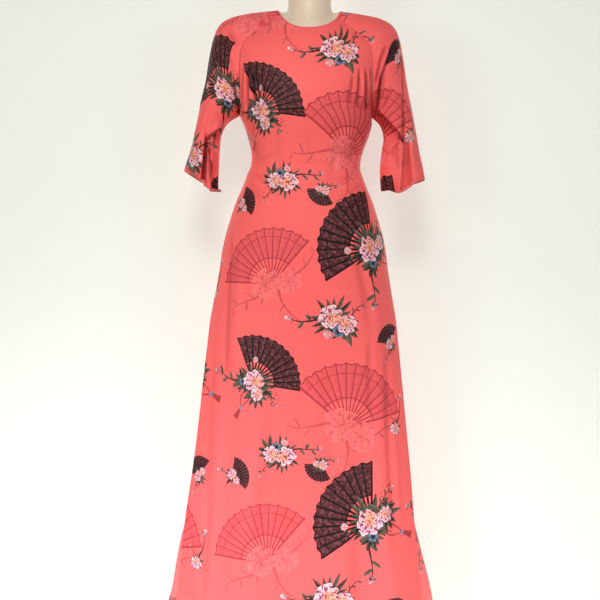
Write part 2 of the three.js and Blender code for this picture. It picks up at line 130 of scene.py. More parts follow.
# Folds pulled into the cloth, seen from the front: from (x0, z0) to (x1, z1), bowed sideways, with
# a spread at each end. A positive depth presses in. fade: the share of its length that it grows in.
FOLDS = "x0 z0 x1 z1 bow spread0 spread1 depth fade"
FRONT_CREASES = table(
    FOLDS,
    (-130, 1272, -134, 1180, 1, 2.2, 2.8, 6.5, 0.28),
    (-119, 1280, -120, 1156, 2, 2, 3, 7, 0.24),
    (-107, 1266, -106, 1154, 2, 2.2, 3.2, 6, 0.28),
    (-95, 1254, -99, 1140, 2, 3, 3.8, 4.4, 0.34),
    (-83, 1240, -88, 1150, 2, 3, 4, 2.8, 0.36),
    (-125, 1274, -127, 1166, 2, 2.4, 2.8, -2.6, 0.3),
    (-113, 1272, -113, 1156, 2, 2.4, 3, -2.6, 0.3),
    (135, 1270, 134, 1178, -1, 2.4, 2.8, 7, 0.22),
    (123, 1266, 127, 1162, -2, 2.2, 3, 7, 0.26),
    (109, 1264, 106, 1168, -2, 2.4, 3.4, 6, 0.3),
    (95, 1254, 88, 1170, -2, 3, 4, 4.2, 0.34),
    (129, 1264, 130, 1168, -1, 2.4, 2.8, -2.8, 0.3),
    (116, 1262, 116, 1168, -1, 2.4, 3, -2.8, 0.3),
    (128, 1150, 96, 1060, 8, 8, 7, 3.2, 0.3),
    (-128, 1140, -100, 1062, -8, 7, 7, 3, 0.3),
    (112, 1066, 50, 1092, 4, 5, 8, 2.2, 0.45),
    (110, 1050, 56, 1022, -4, 5, 8, 2.6, 0.45),
    (118, 1030, 74, 984, -4, 5, 9, 2.6, 0.45),
    (-110, 1066, -52, 1094, 4, 5, 8, 2.2, 0.45),
    (-112, 1048, -60, 1016, 4, 5, 8, 2.6, 0.45),
    (-120, 1026, -78, 980, 4, 5, 9, 2.4, 0.45),
    (-60, 1190, -44, 1000, 5, 9, 11, 2.4, 0.4),
    (64, 1180, 48, 990, -5, 9, 11, 2.6, 0.4),
    (14, 1180, 8, 1040, 3, 12, 12, 1.2, 0.45),
    (-148, 960, -160, 560, 4, 5, 8, 4.2, 0.3),
    (-132, 940, -146, 600, -3, 8, 9, -3, 0.3),
    (-182, 700, -196, 330, 3, 7, 9, 3.4, 0.3),
    (96, 930, 140, 700, -6, 8, 12, 4, 0.35),
    (118, 900, 158, 690, -5, 8, 10, -2.6, 0.35),
    (138, 720, 142, 520, 3, 6, 9, 3.6, 0.3),
    (172, 740, 198, 210, 4, 7, 10, 4.2, 0.25),
    (186, 600, 212, 260, 4, 7, 9, -2.4, 0.3),
    (-60, 620, -84, 210, 5, 14, 18, 3.4, 0.35),
    (40, 700, 52, 280, -4, 14, 18, 2.8, 0.35),
    (-186, 420, -205, 100, 0, 7, 10, 3.6, 0.35),
    (104, 480, 120, 110, 2, 12, 14, 3.2, 0.35),
    (-268, 232, -150, 96, 12, 11, 16, 2.6, 0.4),
    (-262, 168, -110, 84, 10, 10, 16, -2.2, 0.4),
)
SLIP, SLIP_FROM, SLIP_RISE, NECK_REACH, NECK_FADE = 6, 1300, 80, 110, 60
SEAM_EDGE = (0, 0.7, 1.5, 2.6, 4.2, 6.5)  # columns beside a sewn or hemmed edge, in mm from it
NECK_HEM, SIDE_HEM, SKIRT_HEM = 5, 7, 14
SEAM_SINK, HEM_ROUND, FAR_FROM_HEM = 0.4, 0.6, 9.0
ROWS_YOKE, ROWS_SIDE, ROWS_SKIRT = 76, 40, 150
NECK_STEPS = (0, 0.02, 0.05, 0.09, 0.15)  # rows at the neckline's edge, in rows of the YOKE table
HEM_STEPS = (9, 6, 3.5, 1.8, 0.8, 0)  # heights above the hem's edge, in mm
SEWN_ROWS = len(NECK_STEPS) + ROWS_YOKE + ROWS_SIDE  # front and back are sewn together above this
PANEL_COLUMNS = 150
CROWDED = 0.45  # how much wider apart the columns of the front and back are in their middle
DENSE = 96  # steps of half a row as it is worked out, before it is cut into columns
RUMPLE, WAVES, WAVE_LENGTHS = 0.35, 14, (38, 150)  # the unevenness of the crepe
TURNED_AWAY, FACING_RISE = 0.15, 1.6  # see facing_share()


def smooth(values, s):
    """Values at real-numbered rows s: the Catmull-Rom curve through them."""
    last = len(values) - 1
    i = np.clip(np.floor(s).astype(int), 0, last - 1)
    f = (s - i).reshape(-1, *[1] * (values.ndim - 1))
    a, b, c, d = (values[np.clip(i + k, 0, last)] for k in (-1, 0, 1, 2))
    return 0.5 * (
        2 * b + (c - a) * f + (2 * a - 5 * b + 4 * c - d) * f**2 + (3 * b - a - 3 * c + d) * f**3
    )


def stack(*parts):
    """Points from arrays of x, y and z."""
    return np.stack(np.broadcast_arrays(*parts), -1)


def cut_again(dense, count, crowded=0.0):
    """Each row of dense points cut again into count columns: close together beside both ends, at
    the distances in SEAM_EDGE, and wider towards the middle by the share crowded, with a cosine."""
    edge, out = np.array(SEAM_EDGE), []
    share = np.linspace(0, 1, count - 2 * len(edge) + 2)
    share = share - crowded * np.sin(2 * np.pi * share) / (2 * np.pi)
    for row in dense:
        along = np.concatenate([[0], np.cumsum(np.linalg.norm(np.diff(row, axis=0), axis=1))])
        between = edge[-1] + (along[-1] - 2 * edge[-1]) * share
        at = np.concatenate([edge[:-1], between, (along[-1] - edge[:-1])[::-1]])
        out.append(stack(*(np.interp(at, along, row[:, k]) for k in range(3))))
    return np.array(out)


def smoothstep(x):
    """0 below 0 and 1 above 1, with 3x^2 - 2x^3 between."""
    x = np.clip(x, 0, 1)
    return x * x * (3 - 2 * x)


def bell(x):
    """The bell curve exp(-x^2): 1 at 0, and next to nothing beyond 2."""
    return np.exp(-(x**2))


def slipped(grid):
    """The neckline has slipped towards one shoulder: x grows by SLIP, with a smooth step up the
    yoke and another that fades it out sideways, as far as NECK_REACH from the middle."""
    up = smoothstep((grid[..., 2] - SLIP_FROM) / SLIP_RISE)
    near = smoothstep((NECK_REACH - abs(grid[..., 0])) / NECK_FADE)
    return grid + stack(SLIP * up * near, 0, 0)


def body_rows(edge, middle, turn, side, shift=0, fall=None):
    """Dense rows of the front (side -1) or back (side 1). A half row is an arc from the centre line
    that turns through turn degrees: across goes with sin(a) and the depth with 1 - cos(a), both to
    the power FULLNESS, scaled to reach the edge. fall adds the long folds of the skirt."""
    share = np.linspace(-1, 1, 2 * DENSE + 1)[None, :]
    end = np.radians(np.minimum(turn, 90))[:, None]
    a = np.abs(share) * end
    across = np.sin(a) ** FULLNESS / np.sin(end) ** FULLNESS * -side * np.sign(share)
    bent, most = (1 - np.clip(np.cos(angle), 0, 1) ** FULLNESS for angle in (a, end))
    x = edge[:, :1] * across
    y = middle[:, 1:2] + (edge[:, 1:2] - middle[:, 1:2]) * bent / most
    z = middle[:, 2:] + (edge[:, 2:] - middle[:, 2:]) * bent / most
    for at, spread, depth, from_z in zip(*fall.values()) if fall else ():
        grown = np.clip((from_z - middle[:, 2:]) / (from_z - HEM), 0, None) ** 0.8
        y = y - side * depth * grown * bell((across - at) / spread)
    return stack(x + np.reshape(shift, (-1, 1)), y, z)


def yoke_edge(s, side):
    """The raglan seam of the front (side -1) or back (side 1) at yoke rows s."""
    bow = smooth(YOKE["bow_front" if side < 0 else "bow_back"], s)
    bow = bow * np.sin(np.radians(smooth(YOKE["turn"], s)))
    z = smooth(YOKE["seam_z" if side < 0 else "seam_back_z"], s)
    return stack(smooth(YOKE["seam_x"], s), RIDGE_Y + side * bow, z)


def yoke_steps():
    """Yoke rows, close together at the neckline's turned edge."""
    return np.concatenate([NECK_STEPS, np.linspace(0.22, len(YOKE["turn"]) - 1, ROWS_YOKE)])


def panel(side, body, fall):
    """The whole front or back as rows from the neckline to the hem."""
    s = yoke_steps()
    name = "front" if side < 0 else "back"
    middle = stack(0, smooth(YOKE[name + "_y"], s), smooth(YOKE[name + "_z"], s))
    top = body_rows(yoke_edge(s, side), middle, smooth(YOKE["turn_" + name], s), side)
    hem_rows = HEM + np.array(HEM_STEPS)
    sewn = np.linspace(UNDERARM, SLIT_TOP, ROWS_SIDE + 1)[1:]
    free = SLIT_TOP + (hem_rows[0] - SLIT_TOP) * np.linspace(0, 1, ROWS_SKIRT + 1)[1:-1] ** 1.1
    z = np.concatenate([sewn, free, hem_rows])
    s = np.interp(-z, -body["z"], np.arange(len(body["z"])))
    v = {k: smooth(column, s) for k, column in body.items()}
    edge, middle = stack(v["half"], v["side"], z), stack(0, v["middle"], z)
    bottom = body_rows(edge, middle, v["turn"], side, v["shift"], fall)
    return slipped(cut_again(np.concatenate([top, bottom]), PANEL_COLUMNS, CROWDED))


def normals_of(grid):
    """Unit normals of a grid: the cross product of its steps down and along."""
    down, along = np.gradient(grid, axis=0), np.gradient(grid, axis=1)
    n = np.cross(down, along)
    return n / np.linalg.norm(n, axis=-1, keepdims=True)


def beside(grid, x0, z0, x1, z1, bow):
    """Where a grid's points lie in the front view beside a bowed line: the share along it, and how
    far off it they are, on its right as it is followed."""
    x, z = grid[..., 0], grid[..., 2]
    dx, dz = x1 - x0, z1 - z0
    length = np.hypot(dx, dz)
    t = ((x - x0) * dx + (z - z0) * dz) / length**2
    return t, ((x - x0) * dz - (z - z0) * dx) / length - bow * 4 * t * (1 - t)


def facing_share(normals, facing):
    """How much of a fold is laid on cloth that faces forwards (facing -1), backwards (1) or any way
    (0): all of it on the face, little where the cloth turns to the side, and none beyond."""
    return smoothstep(TURNED_AWAY + FACING_RISE * facing * normals[..., 1]) if facing else 1


def creased(grid, normals, creases, facing):
    """Presses creases into a grid along its normals. Each runs along a bowed line in the front
    view; its section is a bell curve, and it grows and dies away over the fade share of its
    length. facing is as in facing_share(). Also gives the painted fold shade for each point: half
    of depth over spread, so 1 at the bottom of a tight crease."""
    depth, painted_fold_shade = np.zeros((2, *grid.shape[:2]))
    keep = facing_share(normals, facing)
    for *line, spread0, spread1, deep, fade in zip(*creases.values()):
        t, off = beside(grid, *line)
        spread = spread0 + (spread1 - spread0) * np.clip(t, 0, 1)
        grow = smoothstep(t / fade) * smoothstep((1 - t) / fade) * keep
        depth += deep * grow * bell(off / spread)
        # Painted fold shade, strongest along the bottom of a crease.
        painted_fold_shade += 0.5 * np.maximum(deep, 0) / spread * grow * bell(1.25 * off / spread)
    return grid - normals * depth[..., None], painted_fold_shade


def rumpled(grid, normals, seed):
    """A slow uneven wave all over, as crepe that has been folded away keeps: a sum of sines whose
    directions and phases come from the seed."""
    rng = np.random.default_rng(seed)
    depth = np.zeros(grid.shape[:2])
    for _ in range(WAVES):
        direction = rng.normal(size=3)
        direction[2] *= 0.45  # more of them run down the cloth than across it
        wave = direction / np.linalg.norm(direction) * 2 * np.pi / rng.uniform(*WAVE_LENGTHS)
        depth += np.sin(grid @ wave + rng.uniform(0, 2 * np.pi))
    return grid + normals * (RUMPLE * depth / np.sqrt(WAVES))[..., None]


def edge_distances(grid):
    """How far each point is from the four edges, along the cloth: left, right, top, bottom."""
    across = np.linalg.norm(np.diff(grid, axis=1), axis=2)
    down = np.linalg.norm(np.diff(grid, axis=0), axis=2)
    left = np.pad(np.cumsum(across, axis=1), ((0, 0), (1, 0)))
    top = np.pad(np.cumsum(down, axis=0), ((1, 0), (0, 0)))
    return left, left[:, -1:] - left, top, top[-1:] - top


def finished_edges(grid, normals, sewn_rows, side_hem, bottom_hem):
    """Works the edges. A sewn side sinks by SEAM_SINK into its seam, with a bell curve; a hem is
    raised by as much over its width, up to its stitches, and rounds off by HEM_ROUND at its fold.
    Returns the grid and, for the stitches, how far each point is from the nearest hemmed edge as a
    share of that hem's width, or FAR_FROM_HEM."""
    left, right, top, bottom = edge_distances(grid)
    sewn = 1 - smoothstep((np.arange(len(grid)) - sewn_rows) / 3)[:, None]
    depth = np.zeros(grid.shape[:2])
    hem_share = np.full(grid.shape[:2], FAR_FROM_HEM)
    for away in (left, right):
        depth += sewn * SEAM_SINK * bell(away / 1.2)
    hems = [(top, NECK_HEM, 1), (bottom, bottom_hem, 1)]
    hems += [(away, side_hem, 1 - sewn) for away in (left, right) if side_hem]
    for away, width, free in hems:
        depth -= free * SEAM_SINK * smoothstep((width + 1 - away) / 1.5)
        depth += free * HEM_ROUND * bell(away)
        hem_share = np.minimum(hem_share, away / width + FAR_FROM_HEM * (1 - free))
    return grid - normals * depth[..., None], hem_share


def cloth_places(grid):
    """Where each point lies on the flat cloth, in metres: how far across from the middle column,
    along its own row, and how far down the middle column."""
    middle = grid.shape[1] // 2
    left, _, top, _ = edge_distances(grid)
    return stack(left - left[:, middle : middle + 1], -top[:, middle : middle + 1]) * MM


def mesh_from_grid(name, grid, places=None, closed=False):
    """A mesh of quads from a grid of points in millimetres, whose faces point along the cross
    product of the steps down and along. places fills its UV map. closed joins the last column to
    the first and closes the first and last rows with a fan of triangles round a pole."""
    rows, columns = grid.shape[:2]
    index = np.arange(rows * columns).reshape(rows, columns)
    points, caps = grid.reshape(-1, 3), []
    if closed:
        index = np.concatenate([index, index[:, :1]], axis=1)
        points = np.concatenate([points, grid[[0, -1]].mean(axis=1)])
        caps = [(rows * columns, a, b) for a, b in zip(index[0, :-1], index[0, 1:])]
        caps += [(rows * columns + 1, b, a) for a, b in zip(index[-1, :-1], index[-1, 1:])]
    faces = stack(index[:-1, :-1], index[1:, :-1], index[1:, 1:], index[:-1, 1:]).reshape(-1, 4)
    mesh = bpy.data.meshes.new(name)
    mesh.from_pydata(points * MM, [], [*faces.tolist(), *caps])
    if places is not None:
        corners = places.reshape(-1, 2)[faces]
        mesh.uv_layers.new(name="UVMap").uv.foreach_set("vector", corners.ravel())
    mesh.shade_smooth()
    return linked(name, mesh)


# The print, an all-over design on coral: dark folding fans, larger fans in the ground's own shades
# behind them, and sprays of peonies. It is drawn with shader nodes in each motif's own units.
def dye(red, green, blue):
    """A colour of 0 to 255 per channel as the renderer's linear colour."""
    c = np.array([red, green, blue]) / 255
    return (*np.where(c > 0.04045, ((c + 0.055) / 1.055) ** 2.4, c / 12.92), 1.0)


class Field:
    """A socket in a node tree; arithmetic on it adds the nodes that work the result out."""

    def __init__(self, socket):
        self.socket, self.tree = socket, socket.id_data

    def by(self, operation, *others):
        """A Math node's result of an operation on this value and others."""
        return placed(self.tree, "Math", [self, *others], operation=operation)

    def __rsub__(self, other):
        return self * -1 + other


SIGNS = {"add": "ADD", "radd": "ADD", "sub": "SUBTRACT", "mul": "MULTIPLY", "rmul": "MULTIPLY"}
SIGNS |= {"truediv": "DIVIDE", "pow": "POWER", "lt": "LESS_THAN", "gt": "GREATER_THAN"}
SIGNS["abs"] = "ABSOLUTE"
for sign, work in SIGNS.items():
    setattr(Field, f"__{sign}__", lambda self, *other, work=work: self.by(work, *other))


def wired(node, inputs):
    """Wires a node's inputs to fields, or sets them, by name or in order."""
    for key, value in inputs.items() if isinstance(inputs, dict) else enumerate(inputs):
        if isinstance(value, Field):
            node.id_data.links.new(value.socket, node.inputs[key])
        else:
            node.inputs[key].default_value = value
    return node


def placed(tree, kind, inputs=(), out=0, **settings):
    """Adds a shader node with its settings and inputs, and gives one output."""
    made = tree.nodes.new("ShaderNode" + kind)
    for name, value in settings.items():
        setattr(made, name, value)
    return Field(wired(made, inputs).outputs[out])


def noise(place, scale, detail=2.0, out="Fac"):
    """A cloudy pattern about a point, scale cells to the unit and detail finer layers over them."""
    return placed(place.tree, "TexNoise", {"Vector": place, "Scale": scale, "Detail": detail}, out)


def split(place):
    """The three numbers of a point or colour."""
    return [Field(o) for o in placed(place.tree, "SeparateXYZ", [place]).socket.node.outputs]


def point(x, y, z):
    """A point of three numbers."""
    return placed(x.tree, "CombineXYZ", [x, y, z])


def drawn(which, number, out="Value"):
    """Numbers drawn for a cell of a motif, the same each time."""
    where = point(which, number, 0.0)
    return placed(which.tree, "TexWhiteNoise", [where], out, noise_dimensions="2D")


def blended(share, below, above, kind="MIX"):
    """The colour above over the one below, by a share from 0 to 1. A Mix node takes its colours at
    inputs 6 and 7, and gives the blend at output 2."""
    tree = next(value.tree for value in (share, below, above) if isinstance(value, Field))
    inputs = {0: share, 6: below, 7: above}
    return placed(tree, "Mix", inputs, 2, data_type="RGBA", blend_type=kind)


def ramped(value, low, high):
    """0 where a value is low, 1 where it is high, and a smooth rise between."""
    ends = [value, low, high, 0.0, 1.0]
    return placed(value.tree, "MapRange", ends, interpolation_type="SMOOTHSTEP")


def new_group(name, inputs, outputs):
    """A node group with named sockets, a Place a point, a Colour a colour and the rest numbers: its
    inputs as fields, and its output node."""
    tree = bpy.data.node_groups.new(name, "ShaderNodeTree")
    for way, labels in (("INPUT", inputs), ("OUTPUT", outputs)):
        for label in labels.split():
            kind = {"Place": "Vector", "Colour": "Color"}.get(label, "Float")
            tree.interface.new_socket(label, in_out=way, socket_type="NodeSocket" + kind)
    entry, result = tree.nodes.new("NodeGroupInput"), tree.nodes.new("NodeGroupOutput")
    return [Field(entry.outputs[label]) for label in inputs.split()], result


def give(result, *fields):
    """Wires what a group puts out, and gives the group."""
    return wired(result, fields).id_data


def use(tree, group, *inputs):
    """Places a group in a tree, wires or sets its inputs in order, and gives its outputs."""
    made = tree.nodes.new("ShaderNodeGroup")
    made.node_tree = group
    return [Field(output) for output in wired(made, inputs).outputs if output.enabled]


def across_up_number(place):
    """Where a point lies in its motif, and the motif's own number."""
    x, y, number = split(place)
    return x, y, number.by("ROUND")


def polar(place):
    """Distance from a motif's middle, angle clockwise from its upright axis, and its number."""
    x, y, number = across_up_number(place)
    return (x * x + y * y) ** 0.5, placed(place.tree, "Math", [x, y], operation="ARCTAN2"), number


def folding_fan_group():
    """An open pleated fan of radius 1 about its rivet. Leaf covers the gauze between the inner arc
    and the scalloped rim; Lines covers ribs, guards, arcs and rim; Shade is 1 on every second
    side of the pleats; Gauze mottles the leaf and picks out the holes of its lace."""
    leaf_from, low_arc, high_arc, scallop, rivet, guard = 0.43, 0.455, 0.83, 0.035, 0.05, 0.015
    (place, opening, pleats, rib), result = new_group(
        "folding_fan", "Place Opening Pleats Rib", "Leaf Lines Shade Gauze"
    )
    r, angle, _ = polar(place)
    turn = angle / opening
    pleat = ((turn + 1) * 0.5 * pleats).by("FRACT")
    fold = abs(pleat - 0.5) * 2
    rim = fold * scallop + (1 - scallop)
    inside = abs(turn) < 1
    leaf = inside * (r > leaf_from) * (r < rim)
    off_rib = (1 - fold) * opening / pleats * r
    ribs = (off_rib < (1 - r * 0.35) * rib) * inside * (r < rim) * (r > rivet)
    guards = (abs(abs(turn) - 1) * opening * r < guard) * (r < 1.0)
    arcs = (abs(r - high_arc) < 0.006) + (abs(r - low_arc) < 0.008) + (r > rim - 0.02)
    lines = ribs.by("MAXIMUM", guards).by("MAXIMUM", arcs * leaf)
    holes = placed(place.tree, "TexVoronoi", {"Vector": place, "Scale": 21.0}, "Distance")
    gauze = ramped(noise(place, 16.0, 4.0), 0.42, 0.66) * 0.6 + ramped(holes, 0.30, 0.12) * 0.5
    return give(result, leaf, lines, pleat > 0.5, gauze)


def petal_ring_group():
    """One ring of petals: its edge goes in and out with the root of |cos| of the angle. Light runs
    from 0 at the reach Foot, where a petal comes out from under the ring above it, to 1 at its
    rim, and falls in the gaps between petals."""
    (r, angle, radius, petals, turn, foot), result = new_group(
        "petal_ring", "Distance Angle Radius Petals Turn Foot", "Cover Light"
    )
    wave = abs(((angle + turn) * petals * 0.5).by("COSINE"))
    reach = r / ((wave**0.5 * 0.26 + 0.74) * radius)
    light = ramped(reach, foot, 0.97) * (ramped(wave, 0.0, 0.6) * 0.9 + 0.1)
    return give(result, reach < 1, light)


def peony_group(petal_ring):
    """A full-blown peony of radius 1: rings of petals laid over each other, the place of each
    pushed about by a slow and a quick noise so that the petals ruffle. Streaks run out along the
    petals, both sides lie in shade, and Warm marks its heart."""
    (place,), result = new_group("peony", "Place", "Cover Light Warm")
    tree, ruffled = place.tree, place
    for scale, size in ((1.7, 0.60), (4.6, 0.20)):
        push = noise(place, scale, 1.0, "Color")
        for operation, by in (("SUBTRACT", (0.5, 0.5, 0.5)), ("MULTIPLY", (size, size, 0.0))):
            push = placed(tree, "VectorMath", [push, by], operation=operation)
        ruffled = placed(tree, "VectorMath", [ruffled, push], operation="ADD")
    r, angle, number = polar(ruffled)
    cover = None
    for radius, petals, turn, foot in (
        (1.00, 7, 0.3, 0.62),
        (0.83, 8, 1.3, 0.60),
        (0.66, 6, 2.0, 0.58),
        (0.50, 6, 0.5, 0.54),
        (0.35, 5, 1.6, 0.48),
        (0.21, 4, 0.2, 0.20),
    ):
        ring_turn = number * (0.4 + turn) + turn
        over, shine = use(tree, petal_ring, r, angle, radius, float(petals), ring_turn, foot)
        light = shine if cover is None else light + (shine - light) * over
        cover = cover or over
    streaks = noise(point(angle * 6, r * 1.6, number), 1.7)
    light = (light + (streaks - 0.5) * 0.5).by("MAXIMUM", 0.0)
    side = split(ruffled)[0]
    warm = ramped(r * 1.1 - side * 0.6, 0.62, 0.20)
    light = light - ramped(side, 0.1, 0.9) * 0.22 - ramped(side, -0.2, -0.9) * 0.08
    return give(result, cover, light, warm)


def leaves_group():
    """A ring of pointed leaves of length 1 about a flower, over a dark tuft. Each has its own
    length and lean, drawn from its number; its half width goes with along (1 - along), made ragged
    by a noise. Light shades its two halves, its vein and its outline."""
    tuft, vein_width, outline_width = 0.36, 0.010, 0.012
    (place, leaves), result = new_group("leaves", "Place Leaves", "Cover Light")
    r, angle, number = polar(place)
    sector = angle * (0.5 / np.pi) * leaves + number * 0.37
    longest, lean, tone = split(drawn(sector.by("FLOOR"), number, "Color"))
    along = r / (longest * 0.45 + 0.55)
    off = (sector.by("FRACT") - 0.5 + (lean - 0.5) * 0.45 * along) * (2 * np.pi) / leaves * r
    half_width = along * (1 - along) * 5.4 / leaves
    ragged = noise(place, 13.0) - 0.5
    half_width = half_width + ragged * 0.10 * (1 - along)
    cover = abs(off) < half_width
    vein = abs(off) < vein_width
    outline = abs(off) > half_width - outline_width
    light = (off > 0) * 0.30 + tone * 0.45 + along * 0.3 + ragged * 1.1 - 0.2
    light = light - (vein + outline) * 0.3
    return give(result, cover.by("MAXIMUM", r < tuft), (light * cover).by("MAXIMUM", 0.0))


def twig_group():
    """A twig from x -1 to 1 that bends with the sine of x, and tapers. Its leaves are ellipses in
    cells along it, to alternate sides, with some cells empty; Bud covers the bud at its tip, and
    Light shades leaves and bud."""
    cells, empty, sway, leaf_half, leaf_reach, leaf_off = 2.7, 0.30, 0.12, 0.105, 0.19, 0.20
    (place,), result = new_group("twig", "Place", "Stem Leaf Bud Light")
    x, y, number = across_up_number(place)
    knots = noise(place, 5.0) - 0.5
    off = y - (x * 2.4 + number).by("SINE") * sway - knots * 0.09
    stem = (abs(off) < (1.5 - x) * 0.028 + knots * 0.05) * (abs(x) < 1)
    cell = (x + 1) * cells
    which = cell.by("FLOOR")
    side = (which * 0.5).by("FRACT") * 4 - 1
    draw = drawn(which, number)
    across = off * side - leaf_off
    forward = (cell.by("FRACT") - 0.5) / cells - across * 0.6
    shape = (forward / leaf_half) ** 2 + (across / leaf_reach) ** 2
    leaf = (shape < 1) * (abs(x) < 1) * (draw > empty)
    bud = ((x - 1.0) / 0.19) ** 2 + (off / 0.11) ** 2
    light = (forward > 0) * 0.5 + draw * 0.4 - (bud < 1) * (x - 1.0) * 3
    return give(result, stem, leaf, bud < 1, light)


def blossom_group():
    """A small flower of five round petals, pale at their rims, about a dark eye."""
    (place,), result = new_group("blossom", "Place", "Cover Light Eye")
    r, angle, number = polar(place)
    wave = abs((angle * 2.5 + number).by("COSINE"))
    reach = r / (wave**0.5 * 0.42 + 0.58)
    return give(result, reach < 1, ramped(reach, 0.2, 0.95) * (wave * 0.6 + 0.4), r < 0.17)


def tassel_group():
    """A fan's cord, from its rivet down to y -1: two strands that bend with the sine of y, a bead
    where they meet, and a fringe that widens below it and shows its threads."""
    cord_half, cord_end, bead_at, bead_radius, fringe_from = 0.013, 0.68, 0.67, 0.051, 0.70
    (place,), result = new_group("tassel", "Place", "Cord Bead Fringe")
    x, y, _ = across_up_number(place)
    down = y * -1
    swing = (down * 4.7).by("SINE") * 0.09
    strand = (abs(x - swing) < cord_half).by("MAXIMUM", abs(x + swing * 1.6) < cord_half)
    cord = strand * (down > 0) * (down < cord_end)
    bead = (x * x + (down - bead_at) ** 2) < bead_radius**2
    width = (down - fringe_from) * 0.16 + 0.035
    threads = ((x / width * 9).by("SINE") * 0.5 + 0.5) * 0.5 + 0.5
    fringe = (abs(x) < width) * (down > fringe_from) * (down < 1.0) * threads
    return give(result, cord, bead, fringe)


def berries_group():
    """A loose cloud of tiny berries inside an ellipse 1 by 0.55: the cells of a Voronoi pattern
    whose middles are near, one in five of them left out."""
    (place,), result = new_group("berries", "Place", "Cover")
    x, y, _ = across_up_number(place)
    cells = placed(place.tree, "TexVoronoi", {"Vector": place, "Scale": 5.2}, "Distance")
    pick = split(Field(cells.socket.node.outputs["Color"]))[0]
    inside = (x * x + (y / 0.55) ** 2) < 1
    return give(result, (cells < pick * 0.14 + 0.16) * inside * (pick > 0.2))


GROUND = dye(247, 102, 99)
GHOST_GAUZE, GHOST_LINE = dye(218, 80, 83), dye(172, 44, 54)
GHOST_SHADE, GHOST_PETAL = dye(214, 74, 80), dye(255, 124, 120)
GAUZE, GAUZE_PALE, RIB = dye(46, 12, 18), dye(158, 92, 96), dye(14, 3, 5)
PLUM, PETAL, PETAL_RIM = dye(84, 16, 44), dye(216, 122, 149), dye(255, 219, 220)
HEART_DEEP, HEART = dye(190, 62, 40), dye(252, 184, 144)
LEAF_DARK, LEAF_PALE = dye(28, 20, 18), dye(122, 116, 94)
BARK, CORD, BERRY = dye(56, 18, 18), dye(138, 24, 38), dye(104, 14, 22)
SLATE_DARK, SLATE = dye(30, 34, 54), dye(120, 140, 164)


def printed_design_group():
    """The whole print, one layer over another, from the ground to the large peonies. Each layer
    reads its motifs' own places from the attribute of its name."""
    _, result = new_group("printed_design", "", "Colour")
    tree = result.id_data
    fan, leaves, blossom = folding_fan_group(), leaves_group(), blossom_group()
    peony, twig = peony_group(petal_ring_group()), twig_group()

    def layer(group, name, *inputs):
        place = placed(tree, "Attribute", out="Vector", attribute_name=name)
        return use(tree, group, place, *inputs)

    leaf, lines, shade, gauze = layer(fan, "ghost_fan", 1.12, 13.0, 0.013)
    colour = blended(leaf * (gauze * 0.4 + shade * 0.14 + 0.55), GROUND, GHOST_GAUZE)
    colour = blended(lines * 0.85, colour, GHOST_LINE)
    stem, sprout, _, light = layer(twig, "ghost_twig")
    colour = blended(stem * 0.5, colour, GHOST_LINE)
    colour = blended(sprout * 0.6, colour, blended(light, GHOST_LINE, GHOST_PETAL))
    cover, light, _ = layer(peony, "ghost_peony")
    colour = blended(cover * 0.8, colour, blended(light, GHOST_SHADE, GHOST_PETAL))

    for name, pleats, rib in (("dark_fan", 12.0, 0.020), ("small_fan", 11.0, 0.038)):
        leaf, lines, shade, gauze = layer(fan, name, 1.05, pleats, rib)
        cloth = blended(gauze * 0.7 + shade * 0.05, GAUZE, GAUZE_PALE)
        colour = blended(leaf * 0.97, colour, cloth)
        colour = blended(lines, colour, RIB)

    cord, bead, fringe = layer(tassel_group(), "tassel")
    (berries,) = layer(berries_group(), "berries")
    for cover, above in ((cord, CORD), (fringe, CORD), (bead, SLATE), (berries, BERRY)):
        colour = blended(cover, colour, above)

    stem, leaf, bud, light = layer(twig, "twig")
    colour = blended(stem, colour, BARK)
    colour = blended(leaf, colour, blended(light, LEAF_DARK, LEAF_PALE))
    colour = blended(bud, colour, blended(light, PETAL_RIM, PLUM))

    for name, count in (("back_leaves", 17.0), ("front_leaves", 11.0)):
        cover, light = layer(leaves, name, count)
        colour = blended(cover, colour, blended(light, LEAF_DARK, LEAF_PALE))

    cover, light, eye = layer(blossom, "blossom")
    colour = blended(cover, colour, blended(light, SLATE_DARK, SLATE))
    colour = blended(eye, colour, LEAF_DARK)

    for name in ("small_peony", "peony"):
        cover, light, warm = layer(peony, name)
        petals = blended(ramped(light, 0.16, 0.66), PLUM, PETAL)
        petals = blended(ramped(light, 0.62, 1.0), petals, PETAL_RIM)
        petals = blended(warm * 0.9, petals, blended(ramped(light, 0.1, 0.8), HEART_DEEP, HEART))
        colour = blended(cover, colour, petals)
    return give(result, colour)


# What stands together in the print, as layer, across, up, size and turn, in shares of its size.
# Sizes are a fan's radius, a flower's or a leaf's reach, half a twig's length.
FAN_SPRAY = (
    ("dark_fan", 0, 0, 1, 0),
    ("tassel", 0.03, -0.1, 0.75, 8),
    ("back_leaves", 0.02, 0.02, 0.54, 0),
    ("front_leaves", 0.2, -0.13, 0.36, 40),
    ("front_leaves", -0.2, -0.1, 0.32, 10),
    ("peony", -0.02, 0.04, 0.22, 20),
    ("small_peony", 0.22, -0.14, 0.135, 100),
    ("small_peony", -0.26, 0.4, 0.06, 220),
    ("blossom", -0.19, -0.13, 0.085, 0),
    ("twig", -0.5, -0.26, 0.36, 205),
    ("berries", 0.52, 0.02, 0.26, -20),
    ("twig", 0.46, 0, 0.2, -14),
)
SMALL_FAN = (
    ("small_fan", 0, 0, 1, 0),
    ("front_leaves", 0, 0.02, 0.62, 0),
    ("twig", -0.2, -0.3, 0.5, 215),
    ("small_peony", -0.08, 0.02, 0.27, 20),
    ("small_peony", 0.28, 0.14, 0.19, 160),
)
